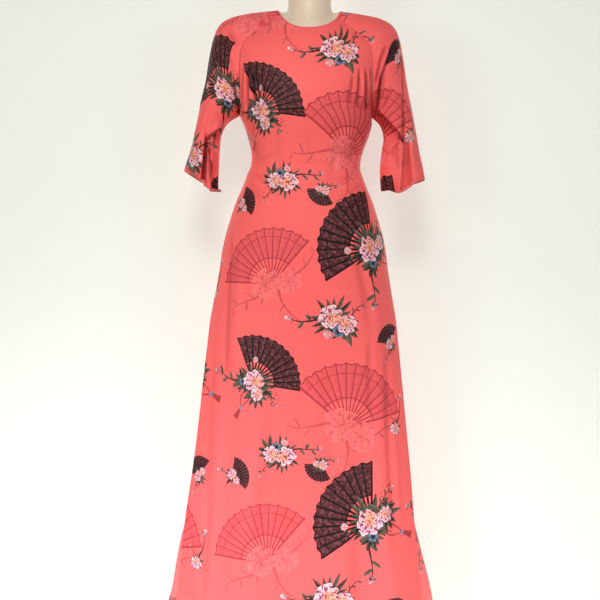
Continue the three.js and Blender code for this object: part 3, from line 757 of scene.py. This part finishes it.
POSY = (
    ("back_leaves", -0.18, 0.08, 1.12, 15),
    ("front_leaves", 0.34, -0.22, 0.92, 60),
    ("peony", -0.3, 0.16, 0.5, 0),
    ("peony", 0.38, -0.14, 0.42, 140),
    ("blossom", 0.02, -0.4, 0.24, 30),
    ("small_peony", -0.42, -0.52, 0.17, 80),
    ("twig", -1.28, 0.06, 0.76, 175),
    ("twig", 0.86, 0.52, 0.42, 40),
)
GHOST_FAN = (
    ("ghost_fan", 0, 0, 1, 0),
    ("ghost_peony", -0.1, 0.02, 0.27, 0),
    ("ghost_peony", 0.28, -0.1, 0.23, 90),
    ("ghost_twig", -0.5, -0.1, 0.42, 190),
    ("ghost_twig", 0.62, 0.06, 0.36, 30),
    ("ghost_twig", 0.1, -0.5, 0.36, -80),
)
BRANCH = (
    ("twig", 0, 0, 1, 0),
    ("twig", -0.5, 0.35, 0.6, 55),
    ("front_leaves", -0.95, 0, 0.62, 0),
    ("small_peony", -0.95, 0, 0.36, 0),
)
# One repeat of the print: what, across, up, size in millimetres, turn in degrees.
REPEAT_WIDTH, REPEAT_HEIGHT = 430, 560
REPEAT = (
    (GHOST_FAN, 64, 8, 132, -14),
    (GHOST_FAN, -92, -262, 116, 24),
    (FAN_SPRAY, 124, -188, 126, 62),
    (FAN_SPRAY, -128, 96, 98, -38),
    (SMALL_FAN, 174, 176, 42, 24),
    (SMALL_FAN, -172, -96, 40, -66),
    (SMALL_FAN, 14, -66, 36, 150),
    (POSY, 44, 222, 50, 0),
    (POSY, -74, -48, 40, 195),
    (BRANCH, 190, 30, 34, 70),
)


def motif_places():
    """Every layer's motifs in one repeat, as rows of across, up, size and turn."""
    layers = {}
    for spray, x, y, size, turn in REPEAT:
        c, s = np.cos(np.radians(turn)), np.sin(np.radians(turn))
        for layer, dx, dy, share, lean in spray:
            at = (x + size * (c * dx - s * dy), y + size * (s * dx + c * dy))
            layers.setdefault(layer, []).append((*at, size * share, turn + lean))
    return {layer: np.array(rows) for layer, rows in layers.items()}


LOTS = 40  # faces are set beside all motifs in so many lots, to spare memory
# The middle of a motif that isn't drawn about its own origin.
MIDDLE = {"tassel": (0, -0.5)} | dict.fromkeys(("ghost_fan", "dark_fan", "small_fan"), (0, 0.62))


def print_on(piece, start):
    """Gives each corner of a piece of cloth its place in the nearest motif of every layer: across,
    up and the motif's number. start is where the middle of its neckline lies on the print, in
    millimetres. Repeats stand side by side, each second column half a repeat lower."""
    mesh = piece.data
    uv = np.zeros(len(mesh.loops) * 2)
    mesh.uv_layers[0].uv.foreach_get("vector", uv)
    corners = uv.reshape(-1, 4, 2) / MM + start
    middles = corners.mean(axis=1)
    repeat = (REPEAT_WIDTH, REPEAT_HEIGHT)
    low = np.floor(middles.min(axis=0) / repeat).astype(int) - 1
    high = np.ceil(middles.max(axis=0) / repeat).astype(int) + 2
    i, j = np.meshgrid(np.arange(low[0], high[0]), np.arange(low[1], high[1]))
    drop = np.where(i % 2, REPEAT_HEIGHT / 2, 0)
    moved = stack(i * REPEAT_WIDTH, j * REPEAT_HEIGHT - drop).reshape(-1, 1, 2)
    for layer, rows in motif_places().items():
        at, size, turn = rows[:, :2], rows[:, 2], np.radians(rows[:, 3])
        c, s = np.cos(turn), np.sin(turn)
        axes = np.stack([stack(c, s), stack(-s, c)], axis=1)  # rows of each: its across and its up
        centre = at + np.einsum("nkd,k->nd", axes, MIDDLE.get(layer, (0, 0))) * size[:, None]
        many = len(moved)
        at, centre = ((p + moved).reshape(-1, 2) for p in (at, centre))
        size, axes = np.tile(size, many), np.tile(axes, (many, 1, 1))
        number = np.tile(np.arange(len(rows)), many)
        nearest = [
            np.argmin((((part[:, None] - centre) / size[:, None]) ** 2).sum(axis=2), axis=1)
            for part in np.array_split(middles, LOTS)
        ]
        nearest = np.concatenate(nearest)
        local = (corners - at[nearest][:, None]) / size[nearest][:, None, None]
        local = np.einsum("fcd,fkd->fck", local, axes[nearest])
        filled = stack(local[..., 0], local[..., 1], number[nearest][:, None]).astype(np.float32)
        attribute = mesh.attributes.new(layer, "FLOAT_VECTOR", "CORNER")
        attribute.data.foreach_set("vector", filled.ravel())


def crepe_grain_group():
    """The grain of crepe: pebbles of twisted thread about a millimetre across, on a fine weave."""
    (place,), result = new_group("crepe_grain", "Place", "Height")
    return give(result, noise(place, 1100.0) * 0.7 + noise(place, 3600.0, 0.0) * 0.3)


printed_design, crepe_grain = printed_design_group(), crepe_grain_group()


def new_material(name):
    """A new material, and the place on the piece as its nodes read it."""
    material = bpy.data.materials.new(name)
    material.use_nodes = True
    return material, placed(material.node_tree, "TexCoord", out="Object")


def finished(material, colour, roughness, height, distance, strength, **constants):
    """Wires a material's colour, roughness and height of bump, and sets its constants."""
    bump = {"Height": height, "Distance": distance, "Strength": strength}
    normal = placed(material.node_tree, "Bump", bump)
    looks = {"Base Color": colour, "Roughness": roughness, "Normal": normal, **constants}
    wired(material.node_tree.nodes["Principled BSDF"], looks)
    return material


def crepe(name, through, under):
    """A side of the printed crepe. through is how much of the print shows on it, and under the
    colour of the bare threads; a row of stitches runs along each hem's upper edge, and shade is
    painted into the colour, darker where the cloth lies deep in a fold."""
    stitch_line, stitch_width, stitches_per_metre, stitch_share = 0.88, 0.07, 380, 0.68
    material, place = new_material(name)
    tree = material.node_tree
    colour = use(tree, printed_design)[0]
    if through < 1:
        colour = blended(through, under, colour)
    hem, painted_fold_shade = (
        placed(tree, "Attribute", out="Fac", attribute_name=label)
        for label in ("hem_share", "painted_fold_shade")
    )
    x, y, _ = split(placed(tree, "UVMap", uv_map="UVMap"))
    dashes = ((x + y) * stitches_per_metre).by("FRACT") < stitch_share
    stitch = (abs(hem - stitch_line) < stitch_width) * dashes
    colour = blended(stitch * 0.35, colour, dye(140, 40, 46))
    # Painted shade: the colour is multiplied towards a deep red where the cloth lies in a fold.
    colour = blended(painted_fold_shade.by("MINIMUM", 1.0) * 0.85, colour, (0.26, 0.13, 0.14, 1.0), "MULTIPLY")
    height = use(tree, crepe_grain, place)[0] - stitch * 1.6
    sheen = {"Sheen Weight": 0.05, "Sheen Roughness": 0.35, "Specular IOR Level": 0.18}
    roughness = noise(place, 14.0, 4.0) * 0.22 + 0.44
    return finished(material, colour, roughness, height, 0.00012, 0.5, **sheen)


right_side = crepe("printed_crepe_right_side", 1.0, GROUND)
wrong_side = crepe("printed_crepe_wrong_side", 0.6, dye(255, 150, 142))


def cloth_piece(name, node, shape, folds, seed, sewn_rows, hems, start, flat, area):
    """A finished piece of the dress, in its node's place: its shape with laps and creases laid in,
    rumpled, its edges worked, with the print and a wall. folds: how each lot is laid, its table and
    the way that it faces. start is on the print; flat and area, those of its pattern, are not used."""
    normals = normals_of(shape)
    grid, painted_fold_shade = shape, 0
    for laid, rows, facing in folds:
        grid, more_fold_shade = laid(grid, normals, rows, facing)
        painted_fold_shade = painted_fold_shade + more_fold_shade
    grid = rumpled(grid, normals, seed)
    grid, hem_share = finished_edges(grid, normals, sewn_rows, *hems)
    piece = mesh_from_grid(name, grid, cloth_places(shape))
    print_on(piece, start)
    # Stored for the materials: the hem shares for the stitches, and the painted fold shade.
    for label, shares in (("hem_share", hem_share), ("painted_fold_shade", painted_fold_shade)):
        attribute = piece.data.attributes.new(label, "FLOAT", "POINT")
        attribute.data.foreach_set("value", shares.astype(np.float32).ravel())
    for material in (right_side, wrong_side):
        piece.data.materials.append(material)
    wall = piece.modifiers.new("cloth", "SOLIDIFY")
    wall.thickness, wall.offset = CLOTH, -1
    wall.material_offset = 1
    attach(piece, "root")
    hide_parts(node)


front_shape = panel(-1, FRONT_BODY, FRONT_FALL)
folds, hems = [(creased, FRONT_CREASES, 0)], (SIDE_HEM, SKIRT_HEM)
placing = ((-24, 290), (0.64, 1.37), 0.582)
cloth_piece("ao_dai_front", "front", front_shape, folds, 3, SEWN_ROWS, hems, *placing)

# ---------------------------------------------------------------- back
# The back is cut like the front, with a little more flare at the hem, so it shows behind it.
BACK_BODY = table(
    BODY,
    (UNDERARM, 142, 0, 6, 98, 90),
    (1155, 137, 5, 6, 95, 90),
    (1130, 129, 6, 6, 90, 90),
    (1100, 120, 4, 6, 82, 90),
    (1075, 117, 2, 7, 78, 90),
    (SLIT_TOP, 123, 0, 8, 77, 88),
    (980, 148, 0, 18, 98, 82),
    (900, 170, 0, 26, 120, 76),
    (780, 188, 0, 34, 130, 72),
    (620, 206, 0, 40, 132, 68),
    (460, 226, 0, 46, 134, 64),
    (310, 250, -2, 52, 138, 62),
    (220, 272, -1, 55, 141, 60),
    (140, 289, 3, 57, 144, 60),
    (HEM, 302, 0, 58, 147, 60),
)
BACK_FALL = table(
    FALL,
    (-0.7, 0.1, 8, 860),
    (-0.34, 0.14, -8, 800),
    (0.02, 0.12, 9, 760),
    (0.36, 0.14, -8, 820),
    (0.72, 0.1, 8, 700),
)
BACK_CREASES = table(
    FOLDS,
    (126, 1260, 132, 1160, -2, 3, 3.4, 4, 0.3),
    (112, 1270, 120, 1150, -2, 3, 3.6, 3.2, 0.3),
    (-128, 1254, -132, 1164, 2, 3, 3.4, 3.8, 0.3),
    (-110, 1262, -116, 1156, 2, 3.4, 3.6, 2.8, 0.3),
    (60, 1180, 46, 1020, -4, 8, 9, 2.8, 0.4),
    (-58, 1176, -44, 1016, 4, 8, 9, 2.6, 0.4),
    (110, 1052, 50, 1080, 5, 5, 8, 2.8, 0.45),
    (112, 1036, 56, 1000, -5, 5, 8, 2.8, 0.45),
    (-108, 1056, -46, 1086, 5, 5, 8, 2.6, 0.45),
    (-114, 1034, -58, 1002, -5, 5, 8, 2.6, 0.45),
    (0, 1080, 4, 960, 2, 10, 12, 1.8, 0.45),
    (150, 940, 176, 420, 4, 7, 10, 3.8, 0.3),
    (-146, 900, -178, 360, -4, 7, 10, 4, 0.3),
    (40, 760, 60, 180, 4, 12, 16, 3.6, 0.3),
    (-70, 820, -96, 260, -4, 10, 14, 3.4, 0.3),
)


FREE_EDGE, TURN, TURN_FROM, TURN_OVER = 70, 30, 620, 360


def turned_out(grid):
    """The free side edges of the back turn outwards towards the hem: within FREE_EDGE of an edge
    its depth grows by TURN with the square of the nearness, which lays the edge flat sideways."""
    left, right, *_ = edge_distances(grid)
    near = sum(np.clip(1 - away / FREE_EDGE, 0, 1) ** 2 for away in (left, right))
    return grid + stack(0, TURN * near * smoothstep((TURN_FROM - grid[..., 2]) / TURN_OVER), 0)


back_shape = turned_out(panel(1, BACK_BODY, BACK_FALL))
folds, placing = [(creased, BACK_CREASES, 0)], ((408, 360), (0.70, 1.37), 0.586)
cloth_piece("ao_dai_back", "back", back_shape, folds, 8, SEWN_ROWS, hems, *placing)

# ---------------------------------------------------------------- sleeves
# Each raglan sleeve is one piece, seamed under the arm, from the neckline to a wide cuff below
# the elbow. Nothing fills it below the form's armhole, so it hangs flat in sharp lengthwise folds.
TUBE = "outer_x outer_z inner_x inner_z bow"
RIGHT_TUBE = table(
    TUBE,
    (227, 1202, 142, UNDERARM, 52),
    (232, 1175, 160, 1160, 47),
    (238, 1149, 168, 1134, 44),
    (243, 1122, 165, 1106, 42),
    (248, 1095, 162, 1076, 40),
    (254, 1069, 162, 1047, 38),
    (259, 1042, 165, 1018, 36),
)
LEFT_TUBE = table(
    TUBE,
    (227, 1202, 142, UNDERARM, 52),
    (231, 1177, 168, 1161, 47),
    (236, 1152, 181, 1135, 44),
    (241, 1128, 184, 1105, 42),
    (247, 1104, 185, 1074, 40),
    (254, 1080, 186, 1043, 38),
    (260, 1056, 187, 1012, 37),
)
# Folds down the tube: angle round it (0 outer side, 90 front, -90 back), spread, depth, and how
# far the cuff hangs lower there.
PLEATS = "angle spread depth drop"
RIGHT_PLEATS = table(PLEATS, (80, 11, 15, 0), (100, 12, -5, 18), (-80, 16, 9, 0))
LEFT_PLEATS = table(
    PLEATS, (90, 13, 15, 0), (110, 10, 8, 0), (130, 10, -4, 8), (152, 12, 5, 0), (-95, 16, 9, 0)
)
SLEEVE_COLUMNS, CUFF_HEM = 236, 16
ROWS_TUBE, CUFF_STEPS = 90, (0.22, 0.12, 0.06, 0.03, 0)  # the last of them crowd at the cuff
# The arm side of each sleeve laps over its lower part along a slant from the underarm, and the
# lower part falls in sharp lengthwise folds. Both are laid as seen from the front.
LAPS = "x0 z0 x1 z1 bow edge hold reach depth fade0 fade1"
# LAP_SHADE: a lap this deep gets the full painted fold shade in the cloth's colour.
CREST, LAP_SHADE = 0.25, 11  # height of a lap's crest, and the depth of one that lies in full shade
RIGHT_LAPS = table(
    LAPS,
    (148, 1190, 214, 1114, -3, 2, 9, 40, 13, 0.1, 0.18),
    (200, 990, 207, 1136, 2, 2.2, 4, 13, 11, 0.01, 0.16),
)
RIGHT_CREASES = table(
    FOLDS,
    (203, 1326, 207, 1112, -2, 3, 2.6, 4.6, 0.12),
    (190, 1330, 150, 1200, 6, 4.4, 3.2, 6.4, 0.16),
    (172, 1322, 145, 1226, 5, 4.2, 3.2, 5.2, 0.2),
    (182, 1320, 147, 1220, 5, 4.4, 3.2, -2.8, 0.28),
    (160, 1290, 146, 1212, 2, 3.6, 3.2, -2.2, 0.3),
    (157, 1262, 151, 1188, 1, 3.2, 3, 5.6, 0.28),
    (168, 1260, 158, 1196, 2, 4.4, 3.8, 3.6, 0.35),
    (188, 1240, 164, 1180, 4, 6, 4.6, 3, 0.4),
    (150, 1214, 147, 1176, 0, 3.4, 3.2, 5, 0.3),
    (176, 1112, 199, 1052, -4, 8, 9, 4.6, 0.35),
    (236, 1200, 246, 1050, 2, 9, 9, 2.6, 0.35),
)
LEFT_LAPS = table(
    LAPS,
    (-214, 1118, -138, 1194, 3, 2, 10, 40, 13, 0.12, 0.1),
    (-224, 990, -211, 1138, -2, 2.2, 6, 5, 15, 0.01, 0.2),
    (-196, 980, -207, 1116, 0, 2, 8, 6, 10, 0.01, 0.2),
)
LEFT_CREASES = table(
    FOLDS,
    (-168, 1352, -140, 1306, 3, 6, 5, 4.2, 0.4),
    (-186, 1330, -150, 1240, -4, 8, 5, 3, 0.35),
    (-160, 1262, -146, 1192, -2, 4, 3.4, 4.6, 0.3),
    (-150, 1240, -145, 1186, -1, 3, 3, 4, 0.3),
    (-206, 1300, -214, 1180, 2, 5, 6, 2.4, 0.35),
    (-209, 1126, -202, 980, 0, 3, 4, -3, 0.18),
    (-230, 1120, -238, 990, -3, 7, 9, 4, 0.25),
    (-240, 1160, -250, 1060, -2, 8, 8, 2.4, 0.35),
)
BACK_SLEEVE_CREASES = table(
    FOLDS,
    (186, 1316, 154, 1214, 5, 6, 4, 4, 0.3),
    (164, 1296, 146, 1222, 3, 5, 4, 2.6, 0.3),
    (156, 1200, 214, 1122, -6, 8, 9, 4, 0.3),
    (210, 1160, 204, 1016, 2, 7, 9, 4.6, 0.25),
    (232, 1180, 238, 1040, 2, 8, 9, 2.6, 0.3),
)


def lapped(grid, normals, laps, facing):
    """Folds laid over: beside a line in the front view the cloth steps in on the line's right as it
    is followed, within edge, stays in for hold, and comes out again with a bell curve over reach;
    a low crest stands before it. The step grows and dies away over the shares fade0 and fade1 of
    its length. facing is as in creased(), and it also gives the painted fold shade, darkest at the
    step's foot."""
    depth, painted_fold_shade = np.zeros((2, *grid.shape[:2]))
    keep = facing_share(normals, facing)
    for *line, edge, hold, reach, deep, fade0, fade1 in zip(*laps.values()):
        t, off = beside(grid, *line)
        grow = smoothstep(t / fade0) * smoothstep((1 - t) / fade1) * keep
        step = smoothstep(0.5 + off / edge) * bell(np.clip(off - hold, 0, None) / reach)
        depth += deep * grow * (step - CREST * bell((off + edge) / (2.5 * edge)))
        # Painted fold shade, darkest just past the step's edge, where the lap overhangs.
        past = np.clip(off - edge / 2, 0, None)
        shade = 0.75 * bell(past / 1.5) + 0.55 * np.exp(-past / (0.8 * hold + 2))
        painted_fold_shade += deep / LAP_SHADE * grow * smoothstep(0.6 + off / edge) * shade
    return grid - normals * depth[..., None], painted_fold_shade


def arch_half(outer, edge, bow, turn, sign, pleats=None, grown=0.0):
    """Dense half rows of a sleeve, from its outer line to its front (sign 1) or back (-1) edge: an
    arc of turn degrees in which the reach goes with 1 - cos(a) and the depth with sin(a). Each
    pleat presses it in with a bell curve about its angle, and a wider one lets it hang."""
    end = np.radians(turn)[:, None]
    a = np.linspace(0, 1, DENSE + 1)[None, :] * end
    reach = (1 - np.cos(a)) / (1 - np.cos(end))
    press, drop = np.zeros((2, *a.shape))
    for angle, spread, depth, sag in zip(*pleats.values()) if pleats else ():
        off = (sign * np.degrees(a) - angle) / spread
        press += grown[:, None] * depth * bell(off)
        drop += grown[:, None] * sag * bell(off / 2.5)
    x = outer[:, :1] + (edge[:, :1] - outer[:, :1]) * reach
    y = RIDGE_Y - sign * (bow[:, None] * np.sin(a) - press)
    z = outer[:, 1:] + (edge[:, 1:] - outer[:, 1:]) * reach - drop
    return stack(x, y, z)


def sleeve(tube, pleats):
    """A right sleeve as rows from the neckline to the cuff, front edge first."""
    s = yoke_steps()
    y = {k: smooth(column, s) for k, column in YOKE.items()}
    last = len(tube["bow"]) - 1
    cuff = last - np.array(CUFF_STEPS)
    t = np.concatenate([np.linspace(0, last, ROWS_TUBE + 1)[1:-1], cuff])
    u = {k: smooth(column, t) for k, column in tube.items()}
    rows = []
    for sign, seam, bow in ((1, "seam_z", "bow_front"), (-1, "seam_back_z", "bow_back")):
        ridge = stack(y["ridge_x"], y["ridge_z"])
        top = arch_half(ridge, stack(y["seam_x"], y[seam]), y[bow], y["turn"], sign)
        outer, inner = stack(u["outer_x"], u["outer_z"]), stack(u["inner_x"], u["inner_z"])
        low = arch_half(outer, inner, u["bow"], np.full(len(t), 180.0), sign, pleats, t / last)
        rows.append(np.concatenate([top, low]))
    return cut_again(np.concatenate([rows[0][:, ::-1], rows[1][:, 1:]], axis=1), SLEEVE_COLUMNS)


right_shape = slipped(sleeve(RIGHT_TUBE, RIGHT_PLEATS))
left_shape = slipped((sleeve(LEFT_TUBE, LEFT_PLEATS) * (-1, 1, 1))[:, ::-1])
mirrored_back = {
    k: v * (-1 if k in ("x0", "x1", "bow") else 1) for k, v in BACK_SLEEVE_CREASES.items()
}
for side, shape, laps, creases, behind, seed, start, area in (
    ("right", right_shape, RIGHT_LAPS, RIGHT_CREASES, BACK_SLEEVE_CREASES, 21, (650, 85), 0.097),
    ("left", left_shape, LEFT_LAPS, LEFT_CREASES, mirrored_back, 34, (460, 355), 0.092),
):
    name, node = "ao_dai_sleeve_" + side, "sleeve_" + side
    folds = [(lapped, laps, -1), (creased, creases, -1), (creased, behind, 1)]
    placing = (start, (0.30, 0.42), area)
    cloth_piece(name, node, shape, folds, seed, len(shape), (0, CUFF_HEM), *placing)

# ---------------------------------------------------------------- form
# The form is a hollow moulded shell, a neck and trunk with smooth closed armholes, sprayed with
# ivory enamel. The dress hangs from its shoulders, so they run close under the cloth.
NECK = table(
    "half front_y back_y side_z front_z back_z",
    (40, -36, 40, 1485, 1485, 1485),
    (46, -42, 46, 1480, 1480, 1480),
    (46, -43, 46, 1452, 1446, 1450),
    (46, -46, 46, 1424, 1402, 1416),
    (47, -52, 46, 1408, 1376, 1399),
    (51, -60, 49, 1401, 1360, 1391),
)
TRUNK = table(
    "z half front_y back_y",
    (UNDERARM + 4, 130, -113, 93),
    (1140, 119, -105, 86),
    (1100, 111, -92, 75),
    (1060, 110, -85, 71),
    (1010, 125, -90, 79),
    (950, 148, -98, 100),
    (890, 160, -101, 112),
    (830, 158, -96, 108),
    (800, 150, -88, 98),
    (786, 130, -74, 84),
)
FORM_COLUMNS = (52, 24, 52, 24)  # across the front, one side, the back and the other side
SIDE_ARC = 10  # degrees that each half of a side takes
SHOULDER_ROWS = [0, 8, 16, 24, 33, 41, 49, 57, 65]  # rows of the cloth that its shoulders follow
BELOW_CLOTH = (2.6, 5, 8, 11, 11, 11, 11, 11, 11)  # and how far below it
CAP = (0.3, 0.7, 0.92, 0.98)  # the rings that close the neck and the floor, as shares of their edge


def upright_rings(*columns):
    """Rings whose front and back are half ellipses, and whose height goes from the sides' to the
    front's or back's with the cosine of the angle from there."""
    spans = ((-90, SIDE_ARC), (90, -SIDE_ARC), (90, SIDE_ARC), (270, -SIDE_ARC), (270, SIDE_ARC))
    ends = [start + arc for start, arc in spans]
    a = [np.linspace(p, q, n, endpoint=False) for p, q, n in zip(ends, ends[1:], FORM_COLUMNS)]
    a = np.radians(np.concatenate(a))
    half, front_y, back_y, side_z, front_z, back_z = (np.reshape(v, (-1, 1)) for v in columns)
    c = np.cos(a)
    depth = np.where(c > 0, front_y - RIDGE_Y, RIDGE_Y - back_y)
    rise = np.where(c > 0, front_z - side_z, back_z - side_z) * np.abs(c)
    return stack(half * np.sin(a), RIDGE_Y + depth * c, side_z + rise)


shoulders = []
below = np.reshape(BELOW_CLOTH, (-1, 1, 1))
for shape, columns in zip((front_shape, right_shape, back_shape, left_shape), FORM_COLUMNS):
    under = shape[SHOULDER_ROWS] - normals_of(shape)[SHOULDER_ROWS] * below
    at = np.linspace(0, shape.shape[1] - 1, columns, endpoint=False)
    shoulders.append(np.array([smooth(row, at) for row in under]))
rings = np.concatenate(
    [
        slipped(upright_rings(*NECK.values())),
        np.concatenate(shoulders, axis=1),
        upright_rings(*(TRUNK[k] for k in ("half", "front_y", "back_y", "z", "z", "z"))),
    ]
)
trunk_from = -len(TRUNK["z"])
neck_and_shoulders, trunk = (
    smooth(part, np.linspace(0, len(part) - 1, rows))
    for part, rows in ((rings[:trunk_from], 110), (rings[trunk_from:], 60))
)
top, under = (
    [ring * (k, k, 1) + (0, RIDGE_Y * (1 - k), 0) for k in CAP] for ring in (rings[:1], rings[-1:])
)
shell = np.concatenate([*top, neck_and_shoulders, trunk, *under[::-1]])


def ivory_enamel():
    """Enamel over moulded glass fibre: a slow uneven tone, a fine orange peel, patches rubbed
    duller by cloth, and the line of the mould down each side."""
    material, place = new_material("ivory_enamel")
    mould_line = abs(split(place)[1] - RIDGE_Y * MM) < 0.4 * MM
    tone = ramped(noise(place, 7.0, 5.0), 0.3, 0.72)
    colour = blended(tone, dye(226, 200, 172), dye(240, 222, 200))
    colour = blended(mould_line * 0.4, colour, dye(196, 168, 140))
    roughness = ramped(noise(place, 22.0, 3.0), 0.4, 0.7) * 0.16 + 0.34
    height = noise(place, 420.0, 1.0) + mould_line * 1.5
    return finished(material, colour, roughness, height, 0.0002, 0.35)


form_piece = mesh_from_grid("form_shell", shell, closed=True)
form_piece.data.materials.append(ivory_enamel())
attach(form_piece, "root")
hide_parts("form_torso")

# ---------------------------------------------------------------- pole and foot
# A steel tube stands in a collar that is screwed to a round steel plate, and holds the form with a
# flange at its top. The three are turned, with small rounds on their edges.
# Their profiles as radius and height, from the top down; SEAT is the gap where two of them meet.
TUBE_RADIUS, FLANGE_RADIUS, FLANGE_TOP = 16, 42, 786
COLLAR_RADIUS, COLLAR_FOOT = 20, 34
PLATE_RADIUS, PLATE_HEIGHT, SEAT = 165, 14, 0.3
POLE = (
    (20, FLANGE_TOP - SEAT),
    (FLANGE_RADIUS, FLANGE_TOP - SEAT),
    (FLANGE_RADIUS, FLANGE_TOP - 6),
    (22, FLANGE_TOP - 12),
    (18.5, FLANGE_TOP - 20),
    (TUBE_RADIUS, FLANGE_TOP - 22),
    (TUBE_RADIUS, 66),
    (COLLAR_RADIUS, 64),
    (COLLAR_RADIUS, 29),
    (COLLAR_FOOT, 20),
    (COLLAR_FOOT, PLATE_HEIGHT + SEAT),
    (10, PLATE_HEIGHT + SEAT),
)
FOOT = (
    (40, PLATE_HEIGHT),
    (PLATE_RADIUS - 10, PLATE_HEIGHT),
    (PLATE_RADIUS - 2, PLATE_HEIGHT - 4),
    (PLATE_RADIUS, 4),
    (PLATE_RADIUS - 4, 0),
    (10, 0),
)


def turned(name, profile, radius, steps):
    """A turned piece from its profile. Each corner becomes four points of the parabola between the
    places a radius before and after it."""
    profile = np.array(profile, float)
    points, t = [profile[:1]], np.linspace(0, 1, 4)[:, None]
    for before, corner, after in zip(profile, profile[1:], profile[2:]):
        start, end = (
            corner + way * min(radius / np.linalg.norm(way), 0.45)
            for way in (before - corner, after - corner)
        )
        points.append(start * (1 - t) ** 2 + corner * 2 * t * (1 - t) + end * t**2)
    points = np.concatenate([*points, profile[-1:]])
    a = np.linspace(0, 2 * np.pi, steps, endpoint=False)
    grid = stack(points[:, :1] * np.cos(a), points[:, :1] * np.sin(a), points[:, 1:])
    piece = mesh_from_grid(name, grid, closed=True)
    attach(piece, "root")
    return piece


def turned_steel():
    """Bare steel: rings left by the lathe, fine scratches, and a dull bloom where it is handled and
    where dust lies on the foot."""
    material, place = new_material("turned_steel")
    tree = material.node_tree
    x, y, z = split(place)
    along = (x * x + y * y) ** 0.5 + z
    rings = placed(tree, "TexNoise", {"W": along * 1500}, "Fac", noise_dimensions="1D")
    stretched = placed(tree, "VectorMath", [place, (900.0, 900.0, 60.0)], operation="MULTIPLY")
    scratch = ramped(noise(stretched, 1.0), 0.66, 0.8)
    worn = ramped(noise(place, 26.0, 4.0), 0.42, 0.68)
    colour = blended(worn * 0.4 + rings * 0.3, dye(184, 183, 180), dye(206, 204, 200))
    roughness = worn * 0.10 + rings * 0.08 + 0.36
    return finished(material, colour, roughness, rings + scratch * 0.6, 0.0001, 0.4, Metallic=1.0)


steel = turned_steel()
pole_piece = turned("form_stand_pole", POLE, 1.5, 96)
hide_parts("form_pole")
foot_piece = turned("form_stand_foot", FOOT, 2.0, 192)
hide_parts("form_foot")
for piece in (pole_piece, foot_piece):
    piece.data.materials.append(steel)

# ---------------------------------------------------------------- floor, backdrop and lights
# A pale floor; a wall close behind the dress that glows faintly, casts no shadow and is only there
# seen from the front; and large soft lights.
def staged_plane(name, corners, colour, glow):
    """A painted plane that isn't part of the object: its material is given."""
    mesh = bpy.data.meshes.new(name)
    mesh.from_pydata(corners, [], [(0, 1, 2, 3)])
    linked(name, mesh)
    paint = bpy.data.materials.new(name + "_paint")
    paint.use_nodes = True
    looks = {"Base Color": colour, "Roughness": 0.9, "Emission Color": (1.0, 0.97, 0.90, 1)}
    wired(paint.node_tree.nodes["Principled BSDF"], {**looks, "Emission Strength": glow})
    mesh.materials.append(paint)
    return paint


REACH = 6
corners = [(-REACH, -REACH, 0), (REACH, -REACH, 0), (REACH, REACH, 0), (-REACH, REACH, 0)]
staged_plane("floor", corners, (0.90, 0.91, 0.86, 1), 0.0)
WALL_Y, HALF, TOP = 0.18, 0.8, 1.65
corners = [(-HALF, WALL_Y, 0), (HALF, WALL_Y, 0), (HALF, WALL_Y, TOP), (-HALF, WALL_Y, TOP)]
tree = staged_plane("backdrop", corners, (0.42, 0.46, 0.41, 1), 0.53).node_tree
behind = placed(tree, "NewGeometry", out="Backfacing")
unseen = behind.by("MAXIMUM", placed(tree, "LightPath", out="Is Shadow Ray"))
painted = Field(tree.nodes["Principled BSDF"].outputs["BSDF"])
one_way = placed(tree, "MixShader", [unseen, painted, placed(tree, "BsdfTransparent")])
wired(tree.nodes["Material Output"], {"Surface": one_way})


def area_light(name, place, aim, size, power, colour=(1, 1, 1), spread=180):
    """A round lamp of a size in metres and a power in watts, turned to its aim; spread is the angle
    of its beam in degrees."""
    light = bpy.data.lights.new(name, "AREA")
    light.shape, light.size, light.energy, light.color = "DISK", size, power, colour
    light.spread = np.radians(spread)
    lamp = linked(name, light)
    lamp.location = place
    lamp.rotation_euler = (Vector(aim) - Vector(place)).to_track_quat("-Z", "Y").to_euler()


area_light("key", (-1.9, -2.1, 1.15), (0, 0, 0.9), 0.6, 17.4, (1.0, 0.99, 0.96))
area_light("fill", (1.8, -2.1, 1.05), (0, 0, 0.8), 1.0, 12.1, (1.0, 0.99, 1.0))
area_light("top", (-0.15, -1.5, 2.1), (0, 0, 0.9), 0.6, 2.0, (1.0, 0.99, 0.97), 60)
area_light("low_left", (-1.3, -2.1, 0.6), (-0.4, 0, 0.0), 0.5, 3.2, (1.0, 0.98, 1.14), 45)
area_light("low_right", (1.1, -2.1, 0.6), (0.38, 0, 0.0), 0.5, 1.9, (1.0, 0.98, 1.04), 45)
area_light("wall_left", (-1.1, -0.5, 1.9), (-0.7, 0.2, 0.9), 0.9, 0.8, (1.0, 1.0, 0.92))
area_light("wall_right", (1.15, -0.5, 1.7), (0.7, 0.2, 0.9), 0.9, 0.7, (1.0, 1.0, 0.92))
area_light("back_left", (-0.9, 2.7, 1.9), (0, 0, 0.9), 1.4, 12)
area_light("back_right", (1.2, 2.5, 1.2), (0, 0, 0.7), 1.4, 10)
world = bpy.data.worlds.new("studio")
bpy.context.scene.world = world
world.use_nodes = True
wired(world.node_tree.nodes["Background"], {"Color": (0.95, 0.96, 1.0, 1), "Strength": 0.18})
bpy.context.scene.view_settings.view_transform = "Standard"
